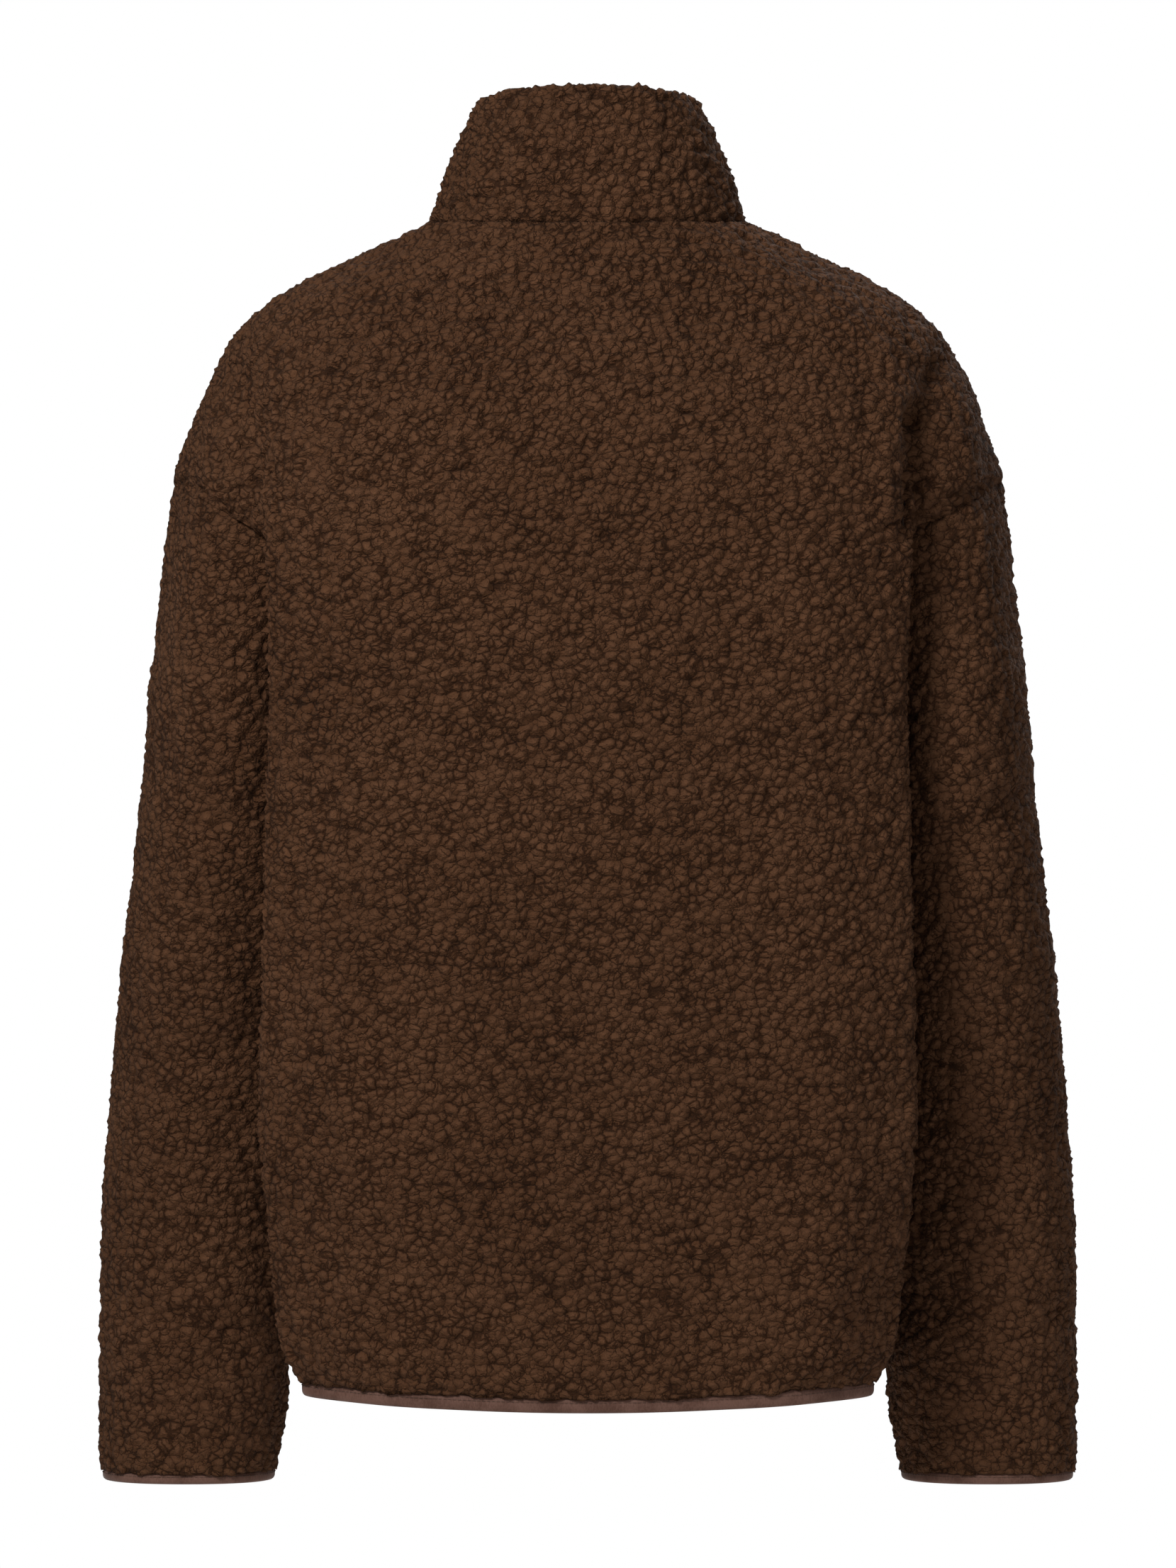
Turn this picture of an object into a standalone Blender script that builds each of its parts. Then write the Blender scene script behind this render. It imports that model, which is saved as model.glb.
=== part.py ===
"""Teddy jacket, filled out as worn with its arms down, as hollow pile cloth.

Metres, +Z up. The origin is the middle of the neck opening at the height of the back neck seam. The back
faces -Y, the closed zip faces +Y, and the wearer's right is +X. Tables are in millimetres.
"""

import math

import bpy
import numpy as np
from mathutils import Matrix, Vector

MM = 0.001

# Cloth
WALL = 5.5 * MM              # pile cloth, backing and pile together
COLLAR_WALL = 9.0 * MM       # the collar is the same cloth twice, folded over its top edge
UNDERARM = np.array([138.0, 8.0, -238.0]) * MM
ARMHOLE_TURN = np.array([147.6, 45.0, -220.0]) * MM
TURN_WIDER = 1.5
TURN_REACH = 20.0 * MM
UNDERARM_THIN = 0.60
UNDERARM_REACH = 26.0 * MM
SEAM_GAP = 0.30 * MM
FRONT_DEPTH = 1.03           # the fronts stand out a little further from the side line than the back

# Trim
HEM_BINDING = 7.0 * MM       # height that shows
CUFF_BINDING = 5.0 * MM
ZIP_HALF_OPENING = 7.0 * MM  # from the middle of the zip to the pile edge of a front
TAPE_WIDE = 15.0 * MM
TAPE_THICK = 0.8 * MM
TAPE_GAP = 0.6 * MM           # between a front and the tape behind it
CHAIN_HALF_WIDE = 3.0 * MM
CHAIN_THICK = 2.4 * MM

# Grid: points across half a panel, and rows up each stretch of a panel's edge
ACROSS = 12
SIDE_ROWS = 11               # hem to underarm
ARMHOLE_ROWS = 9             # underarm to the end of the shoulder
SHOULDER_ROWS = 6            # along the shoulder to the neck
SLEEVE_ROWS = 19
COLLAR_ROWS = 5

# Heights of the seams
HEM_MIDDLE_Z = -643.5 * MM
HEM_SIDE_Z = -632.0 * MM
UNDERARM_Z = -238.0 * MM
ARMHOLE_TOP_Z = -142.0 * MM
CUFF_Z = -689.5 * MM

# Neck seam and collar top, as rings round the neck
NECK_HALF_WIDE = 87.0 * MM
NECK_BACK = 72.0 * MM
NECK_FRONT = 85.0 * MM
NECK_BACK_DIP = 4.0 * MM
NECK_FRONT_DIP = 55.0 * MM
COLLAR_HALF_WIDE = 60.5 * MM
COLLAR_BACK = 58.0 * MM
COLLAR_FRONT = 76.0 * MM
COLLAR_SIDE_Z = 66.0 * MM
COLLAR_BACK_RISE = 6.5 * MM
COLLAR_FRONT_DROP = 45.0 * MM

# Half of the body at each height. From the middle of the back, a section runs to the ridge at the back of
# the arm, through two points after it, to the edge: the shoulder line, the armhole seam or the side seam.
BODY_COLUMNS = (
    "z", "middle_y", "line_y", "ridge_x", "ridge_y", "after_x", "after_y", "near_x", "near_y", "edge_x", "edge_y",
)
BODY_LEVELS = (
    (-640, -131, 10.0, 146.0, -87, 143, -67, 139, -36, 136.0, 10.0),
    (-626, -133, 10.0, 156.0, -91, 152, -70, 146, -38, 142.0, 10.0),
    (-612, -134, 10.0, 163.0, -95, 158, -73, 151, -39, 146.5, 10.0),
    (-600, -135, 10.0, 165.0, -97, 161, -74, 154, -39, 149.0, 10.0),
    (-550, -138, 10.0, 170.0, -101, 165, -77, 155, -40, 147.0, 10.0),
    (-490, -140, 10.0, 175.0, -105, 168, -78, 153, -40, 142.0, 10.0),
    (-340, -141, 10.0, 172.0, -105, 164, -79, 146, -42, 130.0, 10.0),
    (-265, -140, 9.0, 170.5, -104, 163, -80, 147, -47, 130.5, 9.0),
    (-250, -139, 8.5, 170.5, -104, 163, -80, 148, -47, 133.0, 8.5),
    (-238, -139, 8.0, 170.5, -104, 164, -81, 150, -48, 138.0, 8.0),
    (-205, -137, 6.0, 171.0, -103, 168, -90, 162, -74, 152.0, -52.0),
    (-175, -134, 3.0, 171.0, -102, 172, -93, 174, -84, 176.0, -73.0),
    (-164, -133, 2.0, 171.0, -101, 174, -89, 183, -78, 193.0, -68.0),
    (-153, -131, 1.0, 171.0, -100, 177, -85, 195, -71, 211.0, -54.0),
    (-142, -129, 0.0, 170.0, -99, 178, -83, 207, -62, 227.5, 0.0),
    (-110, -122, 0.0, 165.0, -94, 180, -78, 204, -50, 217.0, 0.0),
    (-80, -112, 0.0, 157.0, -86, 179, -66, 197, -37, 204.0, 0.0),
    (-60, -104, 0.0, 146.0, -79, 170, -57, 186, -30, 192.0, 0.0),
    (-40, -95, 0.0, 126.0, -70, 148, -48, 163, -24, 169.0, 0.0),
    (-20, -84, 0.0, 92.0, -60, 111, -41, 125, -21, 130.0, 0.0),
    (0, -72, 0.0, 57.0, -54, 72, -40, 83, -22, 87.0, 0.0),
)

# A sleeve's rounded section at each height, from its outer to its inner side and from back to front.
SLEEVE_COLUMNS = ("z", "outer_x", "inner_x", "back_y", "front_y")
SLEEVE_LEVELS = (
    (-690, 267.0, 171.5, -34, 54),
    (-676, 268.5, 170.0, -36, 55),
    (-650, 268.5, 165.0, -38, 57),
    (-610, 268.5, 164.0, -42, 58),
    (-560, 267.5, 160.0, -46, 58),
    (-483, 262.5, 154.0, -54, 60),
    (-406, 255.0, 150.0, -64, 62),
    (-330, 246.5, 146.0, -74, 66),
    (-270, 241.5, 144.0, -79, 72),
    (-250, 240.0, 142.0, -80, 74),
    (-238, 238.5, 138.0, -80, 75),
    (-205, 235.5, 133.0, -79, 76),
    (-175, 232.5, 131.0, -77, 74),
    (-142, 228.0, 130.0, -70, 70),
)

# The largest folds: which side of the garment, both ends, the half width and how far the crest stands out.
FOLD_COLUMNS = ("side", "from_x", "from_z", "to_x", "to_z", "half_wide", "rise")
FOLDS = (
    ("back", -30, -40, 75, -52, 30, -4.0),
    ("back", -72, -104, -30, -160, 34, 5.0),
    ("back", 112, -116, 42, -200, 42, 5.5),
    ("back", -1, -104, -2, -148, 10, -3.5),
    ("back", -150, -250, -20, -290, 27, -5.0),
    ("back", 24, -286, 138, -314, 27, -5.0),
    ("back", -96, -374, -44, -420, 28, 5.0),
    ("back", -73, -350, 4, -396, 17, -3.0),
    ("back", 62, -378, 124, -356, 26, 3.5),
    ("back", -134, -418, -132, -500, 17, 3.5),
    ("back", -22, -474, 64, -494, 22, -4.5),
    ("back", 131, -458, 129, -576, 20, 4.5),
    ("back", -90, -536, -30, -556, 22, 3.5),
    ("back", 0, -588, 66, -604, 20, -3.0),
    ("back", -196, -86, -179, -142, 13, -5.0),
    ("back", 177, -166, 178, -112, 10, -8.0),
    ("back", 178, -112, 191, -80, 9, -6.0),
    ("back", 161, -160, 164, -104, 13, 4.0),
    ("back", 160, -588, 178, -592, 20, -4.0),
    ("back", -245, -290, -200, -330, 16, -4.5),
    ("back", -255, -395, -195, -430, 18, 3.5),
    ("back", -262, -470, -200, -455, 15, -4.0),
    ("back", -266, -590, -190, -610, 14, -3.5),
    ("back", 207, -84, 206, -130, 11, 3.5),
    ("back", 245, -310, 195, -345, 16, -4.5),
    ("back", 252, -405, 190, -385, 16, 3.5),
    ("back", 262, -500, 200, -525, 16, -4.0),
    ("back", 268, -600, 195, -590, 14, -3.5),
    ("front", -140, -230, -60, -330, 30, -3.5),
    ("front", 150, -250, 70, -335, 30, -3.0),
    ("front", -120, -430, -60, -560, 26, 3.0),
    ("front", 80, -420, 130, -540, 28, 3.0),
    ("front", -250, -360, -190, -390, 18, -4.0),
    ("front", 250, -375, 190, -350, 18, -4.0),
    ("front", -262, -450, -195, -430, 16, 3.0),
    ("front", 262, -440, 195, -465, 16, 3.0),
)


def column_curves(levels):
    """The rising heights and the other columns of a table, in metres."""
    table = np.array(levels, float) * MM
    return table[:, 0], table[:, 1:]


def smooth(knots, values, where):
    """A smooth curve without overshoot through a row of values at each knot, read at the given places."""
    step = np.diff(knots)[:, None]
    rate = np.diff(values, axis=0) / step
    slope = np.zeros_like(values)
    agree = rate[1:] * rate[:-1] > 0
    before = step[:-1] + 2 * step[1:]
    after = 2 * step[:-1] + step[1:]
    with np.errstate(divide="ignore", invalid="ignore"):
        mean = (before + after) / (before / rate[:-1] + after / rate[1:])
    slope[1:-1] = np.where(agree, mean, 0.0)
    slope[0] = rate[0]
    slope[-1] = rate[-1]
    flat = np.clip(np.ravel(where), knots[0], knots[-1])
    i = np.clip(np.searchsorted(knots, flat, side="right") - 1, 0, len(knots) - 2)
    h = step[i]
    t = ((flat - knots[i])[:, None]) / h
    curve = (
        (1 + 2 * t) * (1 - t) ** 2 * values[i]
        + t * (1 - t) ** 2 * h * slope[i]
        + t**2 * (3 - 2 * t) * values[i + 1]
        + t**2 * (t - 1) * h * slope[i + 1]
    )
    return curve.reshape(np.shape(where) + (values.shape[1],))


def ease(low, high, where):
    """Runs smoothly from 0 at low to 1 at high."""
    t = np.clip((where - low) / (high - low), 0, 1)
    return t * t * (3 - 2 * t)


BODY_Z, BODY_VALUES = column_curves(BODY_LEVELS)
SLEEVE_Z, SLEEVE_VALUES = column_curves(SLEEVE_LEVELS)

# Where the middle, two points before the ridge, the ridge, two points after it and the edge lie across
SECTION_KNOTS = np.array([0, 0.24, 0.44, 0.57, 0.70, 0.85, 1.0])


def section_points(z):
    """The seven points of the back half section at each height, with one more past each end."""
    middle_y, _, ridge_x, ridge_y, after_x, after_y, near_x, near_y, edge_x, edge_y = np.moveaxis(
        smooth(BODY_Z, BODY_VALUES, z), -1, 0
    )
    drop = ridge_y - middle_y
    x = [0 * ridge_x, 0.42 * ridge_x, 0.78 * ridge_x, ridge_x, after_x, near_x, edge_x]
    y = [middle_y, middle_y + 0.06 * drop, middle_y + 0.32 * drop, ridge_y, after_y, near_y, edge_y]
    return np.stack([np.stack(x, -1), np.stack(y, -1)], -1)


def line_y(z):
    """The y of the shoulder line and of the side seam."""
    return smooth(BODY_Z, BODY_VALUES[:, 1:2], z)[..., 0]


def body_point(u, z, front=False):
    """A point on half of the body: u runs from the middle (0) to the edge (1), z is its height."""
    u, z = np.broadcast_arrays(np.asarray(u, float), np.asarray(z, float))
    points = section_points(z)
    k = SECTION_KNOTS
    slopes = np.zeros_like(points)
    rate = np.diff(points, axis=-2) / np.diff(k)[:, None]
    share = (np.diff(k)[:-1] / (k[2:] - k[:-2]))[:, None]
    slopes[..., 1:-1, :] = rate[..., :-1, :] * (1 - share) + rate[..., 1:, :] * share
    slopes[..., 0, 0] = rate[..., 0, 0]
    slopes[..., -1, :] = rate[..., -1, :]
    whole_edge = (z >= ARMHOLE_TOP_Z - 1e-9) | (z <= UNDERARM_Z + 1e-9)
    slopes[..., -1, 0] = np.where(whole_edge, 0.35 * rate[..., -1, 0], rate[..., -1, 0])
    i = np.clip(np.searchsorted(k, u, side="right") - 1, 0, len(k) - 2)
    h = (k[i + 1] - k[i])[..., None]
    t = ((u - k[i]))[..., None] / h

    def at(array, index):
        return np.take_along_axis(array, index[..., None, None], axis=-2)[..., 0, :]

    xy = (
        (1 + 2 * t) * (1 - t) ** 2 * at(points, i)
        + t * (1 - t) ** 2 * h * at(slopes, i)
        + t**2 * (3 - 2 * t) * at(points, i + 1)
        + t**2 * (t - 1) * h * at(slopes, i + 1)
    )
    x = xy[..., 0]
    y = xy[..., 1]
    if front:
        middle = line_y(z)
        y = middle + FRONT_DEPTH * (middle - y)
        x = x + ZIP_HALF_OPENING * (1 - u) ** 3
    return np.stack([x, y, z], -1)


def neck_ring(u, front=False):
    """The neck seam from the middle of the back, or of the front, to the shoulder."""
    turn = 0.5 * math.pi * np.asarray(u, float)
    depth, dip = (NECK_FRONT, NECK_FRONT_DIP) if front else (-NECK_BACK, NECK_BACK_DIP)
    x = NECK_HALF_WIDE * np.sin(turn)
    if front:
        x = x + ZIP_HALF_OPENING * (1 - np.asarray(u, float)) ** 3
    return np.stack([x, depth * np.cos(turn), -dip * np.cos(turn) ** 1.6], -1)


def collar_ring(u, front=False):
    """The collar's top edge over the same stretch as neck_ring."""
    turn = 0.5 * math.pi * np.asarray(u, float)
    c = np.cos(turn)
    x = COLLAR_HALF_WIDE * np.sin(turn)
    if front:
        x = x + ZIP_HALF_OPENING * (1 - np.asarray(u, float)) ** 3
        return np.stack([x, COLLAR_FRONT * c, COLLAR_SIDE_Z - COLLAR_FRONT_DROP * c**1.4], -1)
    return np.stack([x, -COLLAR_BACK * c, COLLAR_SIDE_Z + COLLAR_BACK_RISE * c**0.7], -1)


def evenly(points, count):
    """Values from 0 to 1 that split the line through the points into equal lengths."""
    length = np.concatenate([[0], np.cumsum(np.linalg.norm(np.diff(points, axis=0), axis=1))])
    return np.interp(np.linspace(0, length[-1], count + 1), length, np.linspace(0, 1, len(points)))


def edge_heights():
    """Heights along a panel's outer edge, evenly spaced over each stretch, from hem to neck."""
    bottom = HEM_SIDE_Z + HEM_BINDING
    heights = []
    for low, high, rows in (
        (bottom, UNDERARM_Z, SIDE_ROWS),
        (UNDERARM_Z, ARMHOLE_TOP_Z, ARMHOLE_ROWS),
        (ARMHOLE_TOP_Z, 0.0, SHOULDER_ROWS),
    ):
        z = np.linspace(low, high, 400)
        share = evenly(body_point(1.0, z), rows)
        heights.extend((low + (high - low) * share)[:-1])
    return np.array(heights + [0.0])


def panel_half(front=False):
    """Half a body panel's outer face as a grid: rows from hem to neck, columns from middle to edge."""
    u = np.linspace(0, 1, ACROSS + 1)
    edge_z = edge_heights()
    rows = len(edge_z) - 1
    top = -NECK_FRONT_DIP if front else -NECK_BACK_DIP
    bottom = HEM_MIDDLE_Z + HEM_BINDING
    v = np.linspace(0, 1, rows + 1)
    middle_z = bottom + (top - bottom) * v
    to_edge = 1 - np.cos(0.5 * math.pi * u) ** 1.6
    z = middle_z[:, None] * (1 - to_edge) + edge_z[:, None] * to_edge
    grid = body_point(np.broadcast_to(u, z.shape), z, front)
    miss = neck_ring(u, front) - grid[-1]
    grid += miss * ease(0.72, 1.0, v)[:, None, None] ** 2
    return grid


def sleeve_tube(turn, z):
    """A point on a sleeve: turn runs from its outer side (0) over the back to the inner side (half a turn)."""
    outer, inner, back, front = np.moveaxis(smooth(SLEEVE_Z, SLEEVE_VALUES, z), -1, 0)
    power = 2 / 2.2
    c = np.cos(turn)
    s = np.sin(turn)
    x = 0.5 * (outer + inner) + 0.5 * (outer - inner) * np.sign(c) * np.abs(c) ** power
    y = 0.5 * (front + back) - 0.5 * (front - back) * np.sign(s) * np.abs(s) ** power
    return np.stack([x, y, z], -1)


def sleeve_grid(armhole):
    """A sleeve's outer face: rows from armhole to cuff, columns round it from the shoulder down the back."""
    outer, inner, back, front = np.moveaxis(smooth(SLEEVE_Z, SLEEVE_VALUES, armhole[:, 2]), -1, 0)
    across = (armhole[:, 0] - 0.5 * (outer + inner)) / (0.5 * (outer - inner))
    along = (0.5 * (front + back) - armhole[:, 1]) / (0.5 * (front - back))
    start = np.unwrap(
        np.arctan2(np.sign(along) * np.abs(along) ** 1.1, np.sign(across) * np.abs(across) ** 1.1)
    )
    columns = len(armhole)
    finish = 2 * math.pi * np.arange(columns) / columns
    t = (np.arange(SLEEVE_ROWS + 1) / SLEEVE_ROWS)[:, None]
    z = armhole[:, 2] + (CUFF_Z + CUFF_BINDING - armhole[:, 2]) * t
    turn = start + (finish - start) * ease(0, 0.5, t)
    grid = sleeve_tube(turn, z)
    miss = armhole - sleeve_tube(start, armhole[:, 2])
    return grid + miss * (1 - ease(0, 0.3, t))[..., None]


def away_from(place, points):
    """How far each point is from a place that the body has on both sides."""
    beside = np.concatenate([np.abs(points[..., :1]), points[..., 1:]], axis=-1)
    return np.linalg.norm(beside - place, axis=-1)


def fold_height(points, normals):
    """How far the folds move each point along its normal."""
    height = np.zeros(points.shape[:-1])
    for side, from_x, from_z, to_x, to_z, half_wide, rise in FOLDS:
        start = np.array([from_x, from_z]) * MM
        run = np.array([to_x, to_z]) * MM - start
        offset = points[..., [0, 2]] - start
        share = np.clip(offset @ run / (run @ run), 0, 1)
        away = np.linalg.norm(offset - share[..., None] * run, axis=-1) / (half_wide * MM)
        facing = ease(-0.1, 0.5, -normals[..., 1] if side == "back" else normals[..., 1])
        height += rise * MM * np.exp(-1.4 * away**2) * facing
    # Folds die out towards the underarm, where the walls lie close together.
    return height * ease(30 * MM, 75 * MM, away_from(UNDERARM, points))


def cells(rows, columns, wrap):
    """Corner numbers of each cell of a grid whose rows go up and columns turn left, in turning order."""
    r, c = np.meshgrid(np.arange(rows - 1), np.arange(columns if wrap else columns - 1), indexing="ij")
    right = (c + 1) % columns
    corners = (r * columns + c, r * columns + right, (r + 1) * columns + right, (r + 1) * columns + c)
    return np.stack(corners, -1).reshape(-1, 4)


def triangles(quads, points):
    """Two triangles for each quad, cut along mirrored diagonals on the two sides of the body."""
    mirrored = points[quads][..., 0].sum(axis=1) < 0
    a, b, c, d = quads.T
    first = np.stack([a, b, np.where(mirrored, d, c)], -1)
    second = np.stack([np.where(mirrored, b, a), c, d], -1)
    return np.concatenate([first, second])


def shared_normals(grids):
    """Outward normals of all the grids, by name.

    Points that several grids share have one normal. On the armhole seam it lies midway between the body's
    and the sleeve's, so that their walls meet on the plane between them.
    """
    keys = []
    weights = []
    parties = []
    for name, (grid, wrap) in grids.items():
        flat = grid.reshape(-1, 3)
        quads = cells(grid.shape[0], grid.shape[1], wrap)
        normal = np.cross(flat[quads[:, 2]] - flat[quads[:, 0]], flat[quads[:, 3]] - flat[quads[:, 1]])
        weight = np.zeros_like(flat)
        for corner in range(4):
            np.add.at(weight, quads[:, corner], normal)
        keys.append(np.round(flat / 1e-6).astype(np.int64))
        weights.append(weight)
        parties.append(np.full(len(flat), int(name.startswith("sleeve"))))
    _, index = np.unique(np.concatenate(keys), axis=0, return_inverse=True)
    index = index.reshape(-1)
    total = np.zeros((index.max() + 1, 2, 3))
    np.add.at(total, (index, np.concatenate(parties)), np.concatenate(weights))
    total /= np.maximum(np.linalg.norm(total, axis=2, keepdims=True), 1e-12)
    normals = total.sum(axis=1)[index]
    normals /= np.linalg.norm(normals, axis=1, keepdims=True)
    result = {}
    start = 0
    for name, (grid, _) in grids.items():
        stop = start + grid.shape[0] * grid.shape[1]
        result[name] = normals[start:stop].reshape(grid.shape)
        start = stop
    return result


BORDERS = {
    "first_row": np.s_[0],
    "last_row": np.s_[-1],
    "first_column": np.s_[:, 0],
    "last_column": np.s_[:, -1],
}


def border_shift(grid, normals, border):
    """Half the seam gap at each point of a border, towards the inside of its own panel."""
    line = grid[BORDERS[border]]
    inside = {"first_row": np.s_[1], "last_row": np.s_[-2], "first_column": np.s_[:, 1], "last_column": np.s_[:, -2]}
    tangent = np.gradient(line, axis=0)
    tangent /= np.linalg.norm(tangent, axis=1, keepdims=True)
    way = grid[inside[border]] - line
    for axis in (tangent, normals[BORDERS[border]]):
        way = way - np.sum(way * axis, axis=1, keepdims=True) * axis
    way /= np.maximum(np.linalg.norm(way, axis=1, keepdims=True), 1e-9)
    # The armhole turns sharply at its front, so the walls keep further apart there.
    apart = 0.5 * SEAM_GAP * (1 + TURN_WIDER * np.exp(-((away_from(ARMHOLE_TURN, line) / TURN_REACH) ** 2)))
    return way * apart[:, None]


def draw_in(outer, inner, normals, borders):
    """Moves the borders of a wall's two faces into their own panel, which leaves the seam gap."""
    shifts = {border: border_shift(outer, normals, border) for border in borders}
    for border, shift in shifts.items():
        for layer in (outer, inner):
            layer[BORDERS[border]] += shift


def closed_wall(outer, inner, wrap):
    """Points and triangles of the wall between two matching grids."""
    rows, columns = outer.shape[:2]
    points = np.concatenate([outer.reshape(-1, 3), inner.reshape(-1, 3)])
    count = rows * columns
    face = triangles(cells(rows, columns, wrap), points)
    faces = [face, face[:, ::-1] + count]

    def rim(line):
        # The walls on both sides of a seam split each cell of it along the same diagonal.
        a = line[:-1]
        b = line[1:]
        rising = points[b, 2] > points[a, 2]
        faces.append(np.stack([b, a, np.where(rising, b, a) + count], -1))
        faces.append(np.stack([np.where(rising, a, b), a + count, b + count], -1))

    index = np.arange(count).reshape(rows, columns)
    bottom = index[0]
    top = index[-1]
    if wrap:
        bottom = np.append(bottom, bottom[0])
        top = np.append(top, top[0])
    rim(bottom)
    rim(top[::-1])
    if not wrap:
        rim(index[:, -1])
        rim(index[::-1, 0])
    return points, np.concatenate(faces)


def bar_faces(rings, wrap):
    """Points and triangles of a bar given as rings of points, closed by fans at its ends unless it wraps."""
    count, sides = rings.shape[:2]
    faces = []
    for i in range(count if wrap else count - 1):
        j = (i + 1) % count
        for k in range(sides):
            m = (k + 1) % sides
            faces.append((i * sides + k, j * sides + k, j * sides + m))
            faces.append((i * sides + k, j * sides + m, i * sides + m))
    if not wrap:
        for k in range(1, sides - 1):
            faces.append((0, k, k + 1))
            end = (count - 1) * sides
            faces.append((end, end + k + 1, end + k))
    return rings.reshape(-1, 3), np.array(faces)


def facing_out(points, faces):
    """The faces, turned round if the body they close is inside out."""
    corners = points[faces]
    volume = np.sum(np.cross(corners[:, 0], corners[:, 1]) * corners[:, 2])
    return faces if volume > 0 else faces[:, ::-1]


def principled(name, colour, roughness, metallic=0.0):
    """A plain Principled material."""
    material = bpy.data.materials.new(name)
    material.use_nodes = True
    shader = material.node_tree.nodes["Principled BSDF"]
    shader.inputs["Base Color"].default_value = (*colour, 1.0)
    shader.inputs["Roughness"].default_value = roughness
    shader.inputs["Metallic"].default_value = metallic
    return material


def add_mesh(name, points, faces, material, collection):
    """Adds one closed body to the garment's collection."""
    faces = facing_out(points, faces)
    mesh = bpy.data.meshes.new(name)
    mesh.from_pydata(points.tolist(), [], faces.tolist())
    mesh.materials.append(material)
    mesh.validate()
    obj = bpy.data.objects.new(name, mesh)
    collection.objects.link(obj)
    return obj


def add_box(name, centre, size, bevel, material, collection):
    """A box with rounded edges, from a primitive cube."""
    bpy.ops.mesh.primitive_cube_add(size=1.0, location=centre)
    obj = bpy.context.active_object
    obj.name = name
    obj.data.name = name
    obj.scale = size
    bpy.ops.object.transform_apply(location=True, rotation=False, scale=True)
    if bevel:
        rounding = obj.modifiers.new("rounding", "BEVEL")
        rounding.width = bevel
        rounding.segments = 2
    obj.data.materials.append(material)
    for other in list(obj.users_collection):
        other.objects.unlink(obj)
    collection.objects.link(obj)
    return obj


def join_cut(obj, other, operation):
    """An exact Boolean of one object with another."""
    cut = obj.modifiers.new(f"{operation.lower()} {other.name}", "BOOLEAN")
    cut.operation = operation
    cut.solver = "EXACT"
    cut.object = other


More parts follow.
